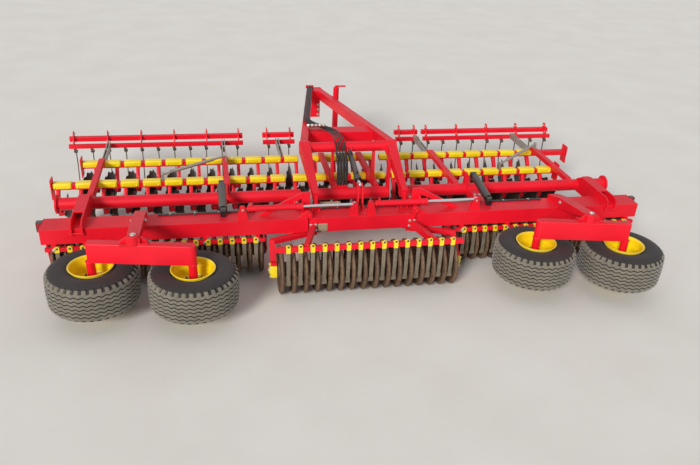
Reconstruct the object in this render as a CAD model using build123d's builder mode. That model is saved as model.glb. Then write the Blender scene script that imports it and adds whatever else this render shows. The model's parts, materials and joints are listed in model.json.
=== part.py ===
"""Trailed disc harrow in three sections, standing spread on its ring packers and its drawbar jack.

Axes: +X to the machine's right, +Y to the hitch, +Z up from the floor. All sizes are millimetres.
"""

import os
from math import cos, radians, sin

from build123d import *

os.makedirs("parts", exist_ok=True)

SIDES = (("left", -1), ("right", 1))
SEAT = 0.3  # gap between bolted or welded pieces of different nodes
RUN = 0.5  # radial running gap of pins and shafts

# Overall
HALF_WIDTH = 3450
HALF_LENGTH = 2513

# Main box beam and its hinges
BEAM_Y, BEAM_DEPTH, BEAM_TOP, BEAM_HEIGHT = -1268, 264, 705, 165
BEAM_REAR, BEAM_FRONT, BEAM_BOTTOM = BEAM_Y - BEAM_DEPTH / 2, BEAM_Y + BEAM_DEPTH / 2, BEAM_TOP - BEAM_HEIGHT
BEAM_HALF = 3325
LAMP, LAMP_Y, LAMP_Z = (58, 70, 112), -1205, 655
FOLD_X, AXIS_Z = 600, BEAM_TOP + 42
TILT_Y = -1200
POST_TOP, POST_IN, POST_W = BEAM_TOP + 250, 570, 92
KNUCKLE_R, PIN_R = 36, 18
HINGE_GAP = 6
FOOT_X, FOOT_THICK, FOOT_LUG = 500, 30, 20

# Drawbar
KNEE = (530, -396, 1128)
NOSE = (75, 2330, 955)
BOX_W, BOX_H, KNEE_R, KNEE_TUBE_R = 90, 130, 75, 60
LEG_LOW = (FOOT_X, TILT_Y - 5, BEAM_TOP + 170)
LEG_FOOT, LEG_KNEE = (60, 90), (120, 150)  # width and height at the leg's two ends
TIE_Y, TIE_Z, TIE_HALF = (100, 300), (980, 1130), 420
EYE_Z, EYE_R, EYE_BORE = 640, 50, 25
JACK_R, JACK_LEG_R, JACK_Z = 42, 34, 985

# Hydraulic hoses along the left drawbar beam, over the tie box and the knee tube, down to the port block
HOSES, HOSE_R, HOSE_SIDES, HOSE_LIFT, HOSE_PITCH, DROP_PITCH = 4, 9, 10, 95, 22, 34
HOSE_END_Y, HOSE_LEAVE_Y, DROP_X = 2360, 420, -58
PORT_Y, PORT_HALF, PORT_TOP = -679, 30, 760
CLIP_AT = (0.35, 0.55, 0.75, 0.92)  # places of the hose clips, as shares of the beam from the knee

# Tool rows: discs, their arms and pads. The front row throws soil to the left, the rear row to the right.
ROW_Y, ROW_THROW = (445, -175), (-1, 1)
ROW_BOX, ROW_HEIGHT, ROW_TOP = 80, 62, 670
PITCH, PAD_W, PAD_T, PAD_SKIRT = 250, 205, 18, 45
DISC_R, DISC_NOTCH_R, DISC_FLAT_R, DISC_NOTCHES = 225, 208, 60, 12
DISC_Z, DISC_TRAIL, DISC_DISH, DISC_T, TOE = 330, 50, 50, 6, 17
# Columns: section, row, first disc, number of discs, low end and high end of the row box
ROW_TABLE = (
    ("left", 0, -3067, 11, -3170, -487),
    ("centre", 0, -317, 4, -397, 513),
    ("right", 0, 683, 9, 603, 3300),
    ("left", 1, -3300, 11, -3410, -720),
    ("centre", 1, -550, 5, -630, 530),
    ("right", 1, 700, 9, 620, 2870),
)
ARM_X = {"left": (-2933.5, -1433.5), "centre": (-183.5, 316.5), "right": (1316.5, 2816.5)}
CARRIER_X = {"left": (-2933.5, -1433.5, -692), "right": (1316.5, 2816.5)}
ARM_W, ARM_H = 62, 60
DISC_ARM_X = (34, 74)  # near and far side of a disc arm from its hub, against the throw
TUBE_Y, TUBE_Z, TUBE_R, TUBE_END = -679, 650, 70, 3288
END_PLATE_T, END_PLATE_Z = 12, (500, 740)
LINK_X, LINK_W, LINK_T, LINK_TOP = (700, 1500, 2960), 90, 15, BEAM_TOP + 95
LEVER_X, DEPTH_X = 1420, 1500
# Side shift turnbuckles: rear and front end of each, from the rear row to an arm
SHIFT = {"left": ((-2175, -175, 750), (-1420, 240, 800)), "right": ((2075, -175, 750), (2805, 370, 800))}

# Levelling board in front, with tines
BOARD_Y, BOARD_Z, BOARD_BOX = 1317, 666, 60
LOW_Y, LOW_Z, LOW_BOX = 1207, 601, 50
LUG_PITCH, TINE_PITCH, TINE_BOX, TINE_KNEE, TINE_TIP = 400, 220, 12, 330, 25
# Columns: section, low x, high x
BOARD_BARS = (
    ("left", -HALF_WIDTH, -1160),
    ("left", -885, -440),
    ("right", 1036, 1386),
    ("right", 1448, HALF_WIDTH),
)

# Ring packers
RING_R, RING_SHOULDER_R, RING_CREST, RING_BASE, RING_SIDES = 265, 240, 24, 48, 28
RING_PITCH, CORE_R, CORE_SIDES, STUB_R = 125, 80, 16, 25
CENTRE_PACK_Y, WING_PACK_Y = -1688, -1195
CENTRE_PACK_HALF = 965
WING_PACK_X = (1065, 3270)
SCRAPER_Y, SCRAPER_Z, SCRAPER_BOX, BLADE_LOW, BLADE_W = -1859, 600, 50, 180, 40
BEARING_X, BEARING_HALF_Y, BEARING_Z = (976, 1046), 60, (190, 335)
PACK_ARM_X, PACK_ARM_Y, PACK_ARM_Z = 1008, -1500, 505
HANGER_X = (552, 5.5 * RING_PITCH)
CENTRE_RINGS = [(i - 7.5) * RING_PITCH for i in range(16)]
WING_RINGS = [1110 + RING_PITCH * i for i in range(18)]
WING_BAR_Y, WING_BAR_Z, WING_BAR_BOX, WING_BAR_X = -1415, 490, 40, (1070, 3290)
WING_STRUT_X = (1150, 1700, 2900, 3200)
WING_BEARING_X, WING_BEARING_T = (1045, 3290), 15

# Transport wheels, laid flat, on their bogies
BOGIE_X, BOGIE_Y, BOGIE_HALF, BOGIE_ANGLE = 2297, -1996, 485, radians(-9.5)
BOGIE_LOW, BOGIE_TOP, BOGIE_W, BOGIE_OVERHANG = 625, 832, 92, 12
PIVOT_X, PIVOT_R, PIVOT_TOP, PIVOT_PLATE = 2350, 60, 915, (130, 46, 75, 16)
TYRE_R, TYRE_W, TYRE_TOP, TYRE_SIDES, BEAD_R, FLANGE_R = 437, 400, 570, 48, 198, 217
AXLE_R, SPINDLE_R, AXLE_LOW, SPINDLE_LOW = 32, 42, 420, 506

# Cylinders
FOLD_CYL_Y, FOLD_CYL_Z, FOLD_BASE_X, FOLD_EYE_X = -1340, AXIS_Z + 78, 90, 1300
TILT_BASE, TILT_EYE = (0, -490, 1100), (0, TILT_Y + 70.1, AXIS_Z + 208.5)
CYL_R, ROD_R, CYL_EYE_R, CYL_EYE_W, CYL_PIN_R = 33, 18, 28, 26, 13
FOLD_BARREL, FOLD_ROD, TILT_BARREL, TILT_ROD = 640, 680, 560, 560


def save(builder, name):
    """Label a finished piece and write its STEP file."""
    builder.part.label = name
    export_step(builder.part, f"parts/{name}.step")


def block(x, y, z, mode=Mode.ADD):
    """Box between the low and high values given for each axis."""
    with Locations(((x[0] + x[1]) / 2, (y[0] + y[1]) / 2, (z[0] + z[1]) / 2)):
        Box(abs(x[1] - x[0]), abs(y[1] - y[0]), abs(z[1] - z[0]), mode=mode)


def rod(start, end, radius, mode=Mode.ADD):
    """Round bar between two points."""
    start, end = Vector(*start), Vector(*end)
    with BuildSketch(Plane(origin=start, z_dir=end - start)) as section:
        Circle(radius)
    extrude(section.sketch, amount=(end - start).length, dir=end - start, mode=mode)


def bar(start, end, width, height, mode=Mode.ADD):
    """Rectangular bar between two points, its width level."""
    start, end = Vector(*start), Vector(*end)
    along = end - start
    level = along.cross(Vector(0, 0, 1))
    level = level if level.length > 1 else Vector(1, 0, 0)
    with BuildSketch(Plane(origin=start, x_dir=level, z_dir=along)) as section:
        Rectangle(width, height)
    extrude(section.sketch, amount=along.length, dir=along, mode=mode)


def tapered_bar(start, end, first, last):
    """Rectangular bar between two points, its width level, from one (width, height) to another."""
    start, end = Vector(*start), Vector(*end)
    along = end - start
    level = along.cross(Vector(0, 0, 1))
    with BuildSketch(Plane(origin=start, x_dir=level, z_dir=along)) as near:
        Rectangle(*first)
    with BuildSketch(Plane(origin=end, x_dir=level, z_dir=along)) as far:
        Rectangle(*last)
    loft([near.sketch, far.sketch], ruled=True)


def plate_yz(x, points, mode=Mode.ADD):
    """Plate with an outline of (y, z) points, between two x values."""
    with BuildSketch(Plane(origin=(x[0], 0, 0), x_dir=(0, 1, 0), z_dir=(1, 0, 0))) as outline:
        Polygon(*points, align=None)
    extrude(outline.sketch, amount=abs(x[1] - x[0]), dir=(1 if x[1] > x[0] else -1, 0, 0), mode=mode)


def plate_xz(y, points, mode=Mode.ADD):
    """Plate with an outline of (x, z) points, between two y values."""
    with BuildSketch(Plane(origin=(0, y[0], 0), x_dir=(1, 0, 0), z_dir=(0, -1, 0))) as outline:
        Polygon(*points, align=None)
    extrude(outline.sketch, amount=abs(y[1] - y[0]), dir=(0, 1 if y[1] > y[0] else -1, 0), mode=mode)


def turned(centre, axis, profile):
    """Solid turned about an axis through centre, from (radius, distance along the axis) points."""
    centre, axis = Vector(*centre), Vector(*axis)
    side = axis.cross(Vector(0, 0, 1)) if abs(axis.Z) < 0.9 else Vector(1, 0, 0)
    with BuildSketch(Plane(origin=centre, x_dir=side, z_dir=side.cross(axis))) as outline:
        Polygon(*profile, align=None)
    revolve(outline.sketch, axis=Axis(centre, axis))


def row_discs(section, row):
    """Disc places of one section's row, as x values from left to right."""
    for name, number, first, count, _, _ in ROW_TABLE:
        if (name, number) == (section, row):
            return [first + PITCH * i for i in range(count)]


def row_ends(section, row):
    """Low and high x of one section's row box."""
    for name, number, _, _, low, high in ROW_TABLE:
        if (name, number) == (section, row):
            return low, high


def tool_rows(section):
    """The two row boxes of a section with the fore-and-aft arms over them."""
    for row in (0, 1):
        block(
            row_ends(section, row),
            (ROW_Y[row] - ROW_BOX / 2, ROW_Y[row] + ROW_BOX / 2),
            (ROW_TOP - ROW_HEIGHT, ROW_TOP),
        )
        if section != "centre":
            outer = max(row_ends(section, row), key=abs)
            block(
                (outer, outer + (END_PLATE_T if outer > 0 else -END_PLATE_T)),
                (ROW_Y[row] - 75, ROW_Y[row] + 65),
                END_PLATE_Z,
            )
    for x in ARM_X[section]:
        half = ARM_W / 2
        plate_yz(
            (x - half, x + half),
            [
                (ROW_Y[0] + 50, ROW_TOP - 1),
                (ROW_Y[0] + 50, ROW_TOP + 0.6 * ARM_H),
                (ROW_Y[0] - 20, ROW_TOP + ARM_H),
                (TUBE_Y + 60, ROW_TOP + ARM_H),
                (TUBE_Y, TUBE_Z + TUBE_R - 5),
                (TUBE_Y, ROW_TOP - 30),
                (TUBE_Y + 110, ROW_TOP - 1),
            ],
        )


def disc_axis(row):
    """Level direction the hollow side of a row's discs faces, toed forward."""
    return Vector(ROW_THROW[row] * cos(radians(TOE)), sin(radians(TOE)), 0)


def disc_arms(section):
    """Bowed arms under the row boxes, each ending in a disc's hub."""
    for row in (0, 1):
        throw = ROW_THROW[row]
        for x in row_discs(section, row):
            y = ROW_Y[row]
            under = ROW_TOP - ROW_HEIGHT - SEAT
            near, far = (x - throw * reach for reach in DISC_ARM_X)
            plate_yz(
                (min(near, far), max(near, far)),
                [
                    (y - 45, under),
                    (y - 125, under - 118),
                    (y - 125, under - 208),
                    (y - DISC_TRAIL - 34, DISC_Z - 34),
                    (y - DISC_TRAIL + 30, DISC_Z - 20),
                    (y - 80, under - 188),
                    (y - 80, under - 133),
                    (y + 40, under),
                ],
            )
            hub = Vector(x, y - DISC_TRAIL, DISC_Z)
            out = disc_axis(row)
            rod(hub - out * 40, hub - out * SEAT, 34)


def corners(radius, sides, z, centre=(0, 0), notch=1):
    """Corners of a level outline round a centre; every other one is drawn in by the notch ratio."""
    points = []
    for i in range(sides):
        reach = radius * (notch if i % 2 else 1)
        angle = radians((i + 0.5) * 360 / sides)
        points.append((centre[0] + reach * cos(angle), centre[1] + reach * sin(angle), z))
    return points


def flat_loft(*outlines, mode=Mode.ADD):
    """Flat-sided solid through outlines of as many corners, one above the other."""
    faces = [Face(Wire.make_polygon(outline)) for outline in (outlines[0], outlines[-1])]
    for low, high in zip(outlines, outlines[1:]):
        for i in range(len(low)):
            faces.append(Face(Wire.make_polygon([low[i - 1], low[i], high[i], high[i - 1]])))
    add(Solid(Shell(faces)), mode=mode)


def notched(radius, z):
    """Outline of a notched disc, its corners in turn on the rim and in a notch."""
    return corners(radius, 2 * DISC_NOTCHES, z, notch=DISC_NOTCH_R / DISC_R)


# Conical disc with a notched rim, dished along +Z
with BuildPart() as disc_blank:
    flat_loft(notched(DISC_FLAT_R, 0), notched(DISC_R, DISC_DISH + DISC_T))
    flat_loft(notched(DISC_FLAT_R, DISC_T), notched(DISC_R - DISC_T, DISC_DISH + DISC_T), mode=Mode.SUBTRACT)


def disc_set(section):
    """Notched discs of both rows, the rows thrown opposite ways."""
    for row in (0, 1):
        hubs = [(x, ROW_Y[row] - DISC_TRAIL, DISC_Z) for x in row_discs(section, row)]
        with Locations(*[Plane(hub, (0, 0, 1), disc_axis(row)).location for hub in hubs]):
            add(disc_blank.part)


def pad_set(section):
    """Clamp pads saddled over the row boxes above the discs, cut short at a box's end or a frame arm."""
    skirt, inner, low = ROW_BOX / 2 + 12, ROW_BOX / 2 + SEAT, ROW_TOP - PAD_SKIRT
    arms = [(x - ARM_W / 2 - SEAT, x + ARM_W / 2 + SEAT) for x in ARM_X[section]]
    for row in (0, 1):
        first, last = row_ends(section, row)
        for x in row_discs(section, row):
            start = max([x - PAD_W / 2, first] + [high for _, high in arms if high < x])
            end = min([x + PAD_W / 2, last] + [edge for edge, _ in arms if edge > x])
            y = ROW_Y[row]
            plate_yz(
                (start, end),
                [
                    (y - skirt, low),
                    (y - skirt, ROW_TOP + PAD_T),
                    (y + skirt, ROW_TOP + PAD_T),
                    (y + skirt, low),
                    (y + inner, low),
                    (y + inner, ROW_TOP + SEAT),
                    (y - inner, ROW_TOP + SEAT),
                    (y - inner, low),
                ],
            )


# Packer ring across +Z, wide at its base and narrow at its crest, a flat side of it downwards
with BuildPart() as ring_blank:
    to_corner = 1 / cos(radians(180 / RING_SIDES))
    flat_loft(
        corners(RING_SHOULDER_R * to_corner, RING_SIDES, -RING_BASE / 2),
        corners(RING_R * to_corner, RING_SIDES, -RING_CREST / 2),
        corners(RING_R * to_corner, RING_SIDES, RING_CREST / 2),
        corners(RING_SHOULDER_R * to_corner, RING_SIDES, RING_BASE / 2),
    )


def roller(x_low, x_high, y, rings, stub):
    """Ring packer roller: core tube, rings at one pitch and two stub shafts."""
    with BuildSketch(Plane(origin=(x_low, y, RING_R), x_dir=(0, 1, 0), z_dir=(1, 0, 0))) as core:
        RegularPolygon(CORE_R, CORE_SIDES)
    extrude(core.sketch, amount=x_high - x_low, dir=(1, 0, 0))
    rod((x_low - stub, y, RING_R), (x_high + stub, y, RING_R), STUB_R)
    with Locations(*[Location((x, y, RING_R), (0, 90, 0)) for x in rings]):
        add(ring_blank.part)


def barrel(base, toward, length):
    """Cylinder barrel with an eye at its base, pointing at another point."""
    base, toward = Vector(*base), Vector(*toward)
    along = (toward - base).normalized()
    rod(base + along * (CYL_EYE_R - 6), base + along * 60, CYL_EYE_W / 2)
    rod(base + along * 50, base + along * length, CYL_R)
    rod(base + along * (length - 55), base + along * length, CYL_R + 6)
    across = Vector(1, 0, 0) if abs(along.X) < 0.1 else Vector(0, 1, 0)
    rod(base - across * (CYL_EYE_W / 2), base + across * (CYL_EYE_W / 2), CYL_EYE_R)
    rod(base - across * CYL_EYE_W, base + across * CYL_EYE_W, CYL_PIN_R + RUN, mode=Mode.SUBTRACT)
    rod(base + along * 70, base + along * (length + 1), ROD_R + RUN, mode=Mode.SUBTRACT)


def piston_rod(base, eye, length):
    """Cylinder rod from its eye back into the barrel, by the given length."""
    base, eye = Vector(*base), Vector(*eye)
    along = (base - eye).normalized()
    rod(eye + along * (CYL_EYE_R - 6), eye + along * length, ROD_R)
    across = Vector(1, 0, 0) if abs(along.X) < 0.1 else Vector(0, 1, 0)
    rod(eye - across * (CYL_EYE_W / 2), eye + across * (CYL_EYE_W / 2), CYL_EYE_R)


def on_left_beam(y):
    """Point of the left drawbar beam's middle line at a given y."""
    share = (y - KNEE[1]) / (NOSE[1] - KNEE[1])
    return Vector(-KNEE[0], *KNEE[1:]) + (Vector(-NOSE[0], *NOSE[1:]) - Vector(-KNEE[0], *KNEE[1:])) * share


def hose(points, bends):
    """Hydraulic hose along straight runs joined by bends of the given radii."""
    with BuildLine() as route:
        FilletPolyline(*points, radius=bends)
    start = route.line @ 0
    with BuildSketch(Plane(origin=start, z_dir=route.line % 0)) as section:
        RegularPolygon(HOSE_R, HOSE_SIDES)
    sweep(section.sketch, path=route.line)


# Drawbar weldment: two side beams, legs, feet, tie box and knee tube
with BuildPart() as drawbar:
    for _, s in SIDES:
        knee = (s * KNEE[0], KNEE[1], KNEE[2])
        bar(knee, (s * NOSE[0], NOSE[1], NOSE[2]), BOX_W, BOX_H)
        leg_top = (s * (FOOT_X + 20), KNEE[1] + 20, KNEE[2])
        tapered_bar((s * FOOT_X, LEG_LOW[1], LEG_LOW[2]), leg_top, LEG_FOOT, LEG_KNEE)
        drum = LEG_KNEE[0] / 2
        rod((leg_top[0] - drum, KNEE[1], KNEE[2]), (leg_top[0] + drum, KNEE[1], KNEE[2]), KNEE_R)
        foot = (s * (FOOT_X - FOOT_THICK / 2), s * (FOOT_X + FOOT_THICK / 2))
        plate_yz(
            foot,
            [
                (TILT_Y - 34, AXIS_Z),
                (TILT_Y - 34, LEG_LOW[2]),
                (TILT_Y + 60, LEG_LOW[2] + 30),
                (TILT_Y + 60, LEG_LOW[2] - 30),
                (TILT_Y + 34, LEG_LOW[2] - 50),
                (TILT_Y + 34, AXIS_Z),
            ],
        )
        rod((foot[0], TILT_Y, AXIS_Z), (foot[1], TILT_Y, AXIS_Z), KNUCKLE_R)
        rod((s * 440, TILT_Y, AXIS_Z), (s * 560, TILT_Y, AXIS_Z), PIN_R + RUN, mode=Mode.SUBTRACT)
    rod((-KNEE[0], KNEE[1], KNEE[2]), (KNEE[0], KNEE[1], KNEE[2]), KNEE_TUBE_R)
    block((-TIE_HALF, TIE_HALF), TIE_Y, TIE_Z)
    for x in (-32, 20):
        plate_yz(
            (x, x + 12),
            [(KNEE[1] - 20, 1170), (-515, 1130), (-515, 1070), (-460, 1065), (KNEE[1], 1075)],
        )
    rod((-30, TILT_BASE[1], TILT_BASE[2]), (30, TILT_BASE[1], TILT_BASE[2]), CYL_PIN_R)
    block((-110, 110), (NOSE[1] - 120, NOSE[1] + 50), (880, 1030))
    block((-100, 100), (NOSE[1] + 50, NOSE[1] + 80), (560, 1030))
    dock = on_left_beam(HOSE_END_Y)
    block((dock.X - 60, dock.X + 60), (HOSE_END_Y + 2.5, HOSE_END_Y + 14), (1025, dock.Z + HOSE_LIFT + 25))
    for share in CLIP_AT:
        clip = on_left_beam(KNEE[1] + share * (NOSE[1] - KNEE[1]))
        block(
            (clip.X - 44, clip.X + 44),
            (clip.Y - 12, clip.Y + 12),
            (clip.Z + BOX_H / 2 - 6, clip.Z + HOSE_LIFT - HOSE_R - 1.1),
        )
save(drawbar, "drawbar")

# Hydraulic hoses, each with its coupling at the nose
with BuildPart() as hoses:
    for i in range(HOSES):
        across = (i - (HOSES - 1) / 2) * HOSE_PITCH
        ends = [on_left_beam(y) + Vector(across, 0, HOSE_LIFT) for y in (HOSE_END_Y, HOSE_LEAVE_Y)]
        x = DROP_X - DROP_PITCH * (HOSES - 1 - i)
        hose(
            [
                ends[0], ends[1], (x, TIE_Y[0] + 30, TIE_Z[1] + 24), (x, KNEE[1], KNEE[2] + KNEE_TUBE_R + 37),
                (x, PORT_Y, PORT_TOP + 250), (x, PORT_Y, PORT_TOP + SEAT),
            ],
            (300, 350, 200, 200),
        )
        rod(ends[0], ends[0] - (ends[0] - ends[1]).normalized() * 70, HOSE_R + 4)
save(hoses, "hoses")

# Towing eye bolted to the head plate
with BuildPart() as towing_eye:
    eye_y = HALF_LENGTH - EYE_R
    block((-60, 60), (NOSE[1] + 80 + SEAT, NOSE[1] + 100), (EYE_Z - 70, EYE_Z + 70))
    block((-40, 40), (NOSE[1] + 95, eye_y), (EYE_Z - 22, EYE_Z + 22))
    rod((0, eye_y, EYE_Z - 22), (0, eye_y, EYE_Z + 22), EYE_R)
    rod((0, eye_y, EYE_Z - 30), (0, eye_y, EYE_Z + 30), EYE_BORE, mode=Mode.SUBTRACT)
save(towing_eye, "towing_eye")

# Parking jack, bracketed square to the side of the right drawbar beam
beam_line = Vector(NOSE[0] - KNEE[0], NOSE[1] - KNEE[1], 0).normalized()
beam_out = Vector(beam_line.Y, -beam_line.X, 0)
jack_foot = Vector(KNEE[0], KNEE[1], 0) + beam_line * 2280
jack_axis = jack_foot + beam_out * (BOX_W / 2 + 55)
JACK_X, JACK_Y = jack_axis.X, jack_axis.Y
with BuildPart() as jack_sleeve:
    rod((JACK_X, JACK_Y, 480), (JACK_X, JACK_Y, 1180), JACK_R)
    bracket = jack_foot + Vector(0, 0, JACK_Z)
    bar(bracket + beam_out * (BOX_W / 2 + SEAT), bracket + beam_out * (BOX_W / 2 + 40), 90, 110)
    rod((JACK_X, JACK_Y, 470), (JACK_X, JACK_Y, 1150), JACK_LEG_R + RUN, mode=Mode.SUBTRACT)
    rod((JACK_X, JACK_Y, 1170), (JACK_X, JACK_Y, 1210), 20)
    bar((JACK_X, JACK_Y, 1200), (JACK_X + 140, JACK_Y, 1200), 20, 20)
save(jack_sleeve, "jack_sleeve")

with BuildPart() as jack_leg:
    rod((JACK_X, JACK_Y, 0), (JACK_X, JACK_Y, 15), 110)
    rod((JACK_X, JACK_Y, 15), (JACK_X, JACK_Y, 760), JACK_LEG_R)
save(jack_leg, "jack_leg")

# Centre tool frame, hung from the drawbar
with BuildPart() as centre_frame:
    tool_rows("centre")
    hang = FOOT_X - BOX_W / 2 - SEAT
    rod((-hang, TUBE_Y, TUBE_Z), (hang, TUBE_Y, TUBE_Z), TUBE_R)
    block(
        (DROP_X - DROP_PITCH * (HOSES - 1) - 16, DROP_X + 16),
        (PORT_Y - PORT_HALF, PORT_Y + PORT_HALF),
        (TUBE_Z + TUBE_R - 15, PORT_TOP),
    )
    for s in (-1, 1):
        plate_yz(
            (s * (hang - 22), s * hang),
            [(TUBE_Y - 60, TUBE_Z), (TUBE_Y - 40, 1030), (TUBE_Y + 60, 1060), (TUBE_Y + 60, TUBE_Z)],
        )
    for x in ARM_X["centre"]:
        plate_yz(
            (x - 12, x + 12),
            [
                (KNEE[1] - 80, ROW_TOP + ARM_H - 1),
                (KNEE[1] - 30, KNEE[2] - 60 - SEAT),
                (KNEE[1] + 30, KNEE[2] - 60 - SEAT),
                (KNEE[1] + 60, ROW_TOP + ARM_H - 1),
            ],
        )
save(centre_frame, "centre_frame")

with BuildPart() as centre_arms:
    disc_arms("centre")
save(centre_arms, "centre_arms")

with BuildPart() as centre_pads:
    pad_set("centre")
save(centre_pads, "centre_pads")

with BuildPart() as centre_discs:
    disc_set("centre")
save(centre_discs, "centre_discs")

# Centre box beam with the feet lugs, fold hinge lugs and cylinder lugs
with BuildPart() as centre_beam:
    block((-FOLD_X + HINGE_GAP, FOLD_X - HINGE_GAP), (BEAM_REAR, BEAM_FRONT), (BEAM_BOTTOM, BEAM_TOP))
    for _, s in SIDES:
        for low in (FOOT_X - FOOT_THICK / 2 - 10 - FOOT_LUG, FOOT_X + FOOT_THICK / 2 + 10):
            span = (s * low, s * (low + FOOT_LUG))
            block(
                (min(span), max(span)),
                (TILT_Y - KNUCKLE_R, TILT_Y + KNUCKLE_R),
                (BEAM_TOP - 1, AXIS_Z),
            )
            rod((span[0], TILT_Y, AXIS_Z), (span[1], TILT_Y, AXIS_Z), KNUCKLE_R)
        rod((s * 440, TILT_Y, AXIS_Z), (s * 555, TILT_Y, AXIS_Z), PIN_R)
        for y in (BEAM_REAR, BEAM_REAR + 47, BEAM_FRONT - 62, BEAM_FRONT - 15):
            plate_xz(
                (y, y + 15),
                [
                    (s * (FOLD_X - 30), BEAM_TOP - 1),
                    (s * (FOLD_X - 40), AXIS_Z),
                    (s * FOLD_X, AXIS_Z + 30),
                    (s * (FOLD_X + 20), AXIS_Z),
                    (s * (FOLD_X - HINGE_GAP), BEAM_TOP - 1),
                ],
            )
            rod((s * FOLD_X, y, AXIS_Z), (s * FOLD_X, y + 15, AXIS_Z), KNUCKLE_R)
        for y in (BEAM_REAR, BEAM_FRONT - 62):
            rod((s * FOLD_X, y, AXIS_Z), (s * FOLD_X, y + 62, AXIS_Z), PIN_R)
        for y in (FOLD_CYL_Y - CYL_EYE_W / 2 - 18, FOLD_CYL_Y + CYL_EYE_W / 2 + 6):
            plate_xz(
                (y, y + 12),
                [
                    (s * (FOLD_BASE_X - 40), BEAM_TOP - 1),
                    (s * (FOLD_BASE_X - 25), FOLD_CYL_Z + 25),
                    (s * (FOLD_BASE_X + 25), FOLD_CYL_Z + 25),
                    (s * (FOLD_BASE_X + 60), BEAM_TOP - 1),
                ],
            )
    rod((FOLD_BASE_X, FOLD_CYL_Y - 25, FOLD_CYL_Z), (FOLD_BASE_X, FOLD_CYL_Y + 25, FOLD_CYL_Z), CYL_PIN_R)
    for x in (-CYL_EYE_W / 2 - 18, CYL_EYE_W / 2 + 6):
        plate_yz(
            (x, x + 12),
            [
                (TILT_Y - 60, BEAM_TOP - 1),
                (TILT_EYE[1] - 30, TILT_EYE[2] + 5),
                (TILT_EYE[1], TILT_EYE[2] + 30),
                (TILT_EYE[1] + 30, TILT_EYE[2]),
                (TILT_Y + 45, BEAM_TOP - 1),
            ],
        )
save(centre_beam, "centre_beam")

# Centre packer frame: hangers, scraper bar and side plates
with BuildPart() as packer_frame:
    half = SCRAPER_BOX / 2
    block((-1000, 1000), (SCRAPER_Y - half, SCRAPER_Y + half), (SCRAPER_Z - half, SCRAPER_Z + half))
    for s in (-1, 1):
        root = BEAM_REAR - SEAT
        block(
            tuple(sorted((s * (HANGER_X[0] - 38), s * (HANGER_X[0] + 38)))),
            (root - 20, root),
            (BEAM_BOTTOM + 5, BEAM_BOTTOM + 115),
        )
        bar(
            (s * HANGER_X[0], root - 15, SCRAPER_Z), (s * HANGER_X[1], SCRAPER_Y + 10, SCRAPER_Z), 50, 80,
        )
        block(
            tuple(sorted((s * 460, s * 580))),
            (BEAM_FRONT - 244, BEAM_FRONT - 144),
            (PACK_ARM_Z + 15, BEAM_BOTTOM - SEAT),
        )
        elbow = (s * PACK_ARM_X, PACK_ARM_Y, PACK_ARM_Z)
        bar((s * 510, BEAM_FRONT - 191, PACK_ARM_Z), elbow, 60, 50)
        reach = BEARING_X[1] - BEARING_X[0] - 10
        rod((elbow[0] - reach / 2, elbow[1], elbow[2]), (elbow[0] + reach / 2, elbow[1], elbow[2]), 27)
        bar(elbow, (elbow[0], CENTRE_PACK_Y + 20, BEARING_Z[1] + 20), reach, 50)
        block(
            (elbow[0] - reach / 2, elbow[0] + reach / 2),
            (CENTRE_PACK_Y - 45, CENTRE_PACK_Y + 45),
            (BEARING_Z[1] + SEAT, BEARING_Z[1] + 30),
        )
save(packer_frame, "packer_frame")

# Scraper clamps with their spring blades between the rings, and bearing housings of the centre packer
with BuildPart() as centre_scrapers:
    top, low = SCRAPER_Z + SCRAPER_BOX / 2, SCRAPER_Z - SCRAPER_BOX / 2
    rear, front = SCRAPER_Y - SCRAPER_BOX / 2, SCRAPER_Y + SCRAPER_BOX / 2
    for x in CENTRE_RINGS[:-1]:
        middle = x + RING_PITCH / 2
        plate_yz(
            (middle - 23, middle + 23),
            [
                (rear - SEAT, low - 6), (rear - SEAT, top + SEAT), (front - 10, top + SEAT),
                (front - 10, top + 10), (rear - 6, top + 36), (rear - 12, top + 36), (rear - 12, low - 6),
            ],
        )
        block((middle - BLADE_W / 2, middle + BLADE_W / 2), (rear - 10, rear - 4), (BLADE_LOW, low))
    for s in (-1, 1):
        inner, outer = (s * x for x in BEARING_X)
        block(
            tuple(sorted((inner, outer))),
            (CENTRE_PACK_Y - BEARING_HALF_Y, CENTRE_PACK_Y + BEARING_HALF_Y),
            BEARING_Z,
        )
        rod((outer - s, CENTRE_PACK_Y, RING_R), (outer + s * 14, CENTRE_PACK_Y, RING_R), 46)
        rod((inner - s, CENTRE_PACK_Y, RING_R), (outer, CENTRE_PACK_Y, RING_R), STUB_R + RUN, mode=Mode.SUBTRACT)
save(centre_scrapers, "centre_scrapers")

with BuildPart() as centre_packer:
    roller(-CENTRE_PACK_HALF, CENTRE_PACK_HALF, CENTRE_PACK_Y, CENTRE_RINGS, BEARING_X[1] - CENTRE_PACK_HALF - 5)
save(centre_packer, "centre_packer")

# Tilt cylinder, from the knee tube to the tall lug on the centre beam
with BuildPart() as tilt_barrel:
    barrel(TILT_BASE, TILT_EYE, TILT_BARREL)
save(tilt_barrel, "tilt_barrel")

with BuildPart() as tilt_rod:
    piston_rod(TILT_BASE, TILT_EYE, TILT_ROD)
save(tilt_rod, "tilt_rod")

# Fold cylinders, across the beam top. The left one points to the middle, the right one away from it.
with BuildPart() as fold_barrel_left:
    barrel((-FOLD_EYE_X, FOLD_CYL_Y, FOLD_CYL_Z), (-FOLD_BASE_X, FOLD_CYL_Y, FOLD_CYL_Z), FOLD_BARREL)
save(fold_barrel_left, "fold_barrel_left")

with BuildPart() as fold_rod_left:
    piston_rod((-FOLD_EYE_X, FOLD_CYL_Y, FOLD_CYL_Z), (-FOLD_BASE_X, FOLD_CYL_Y, FOLD_CYL_Z), FOLD_ROD)
save(fold_rod_left, "fold_rod_left")

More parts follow.
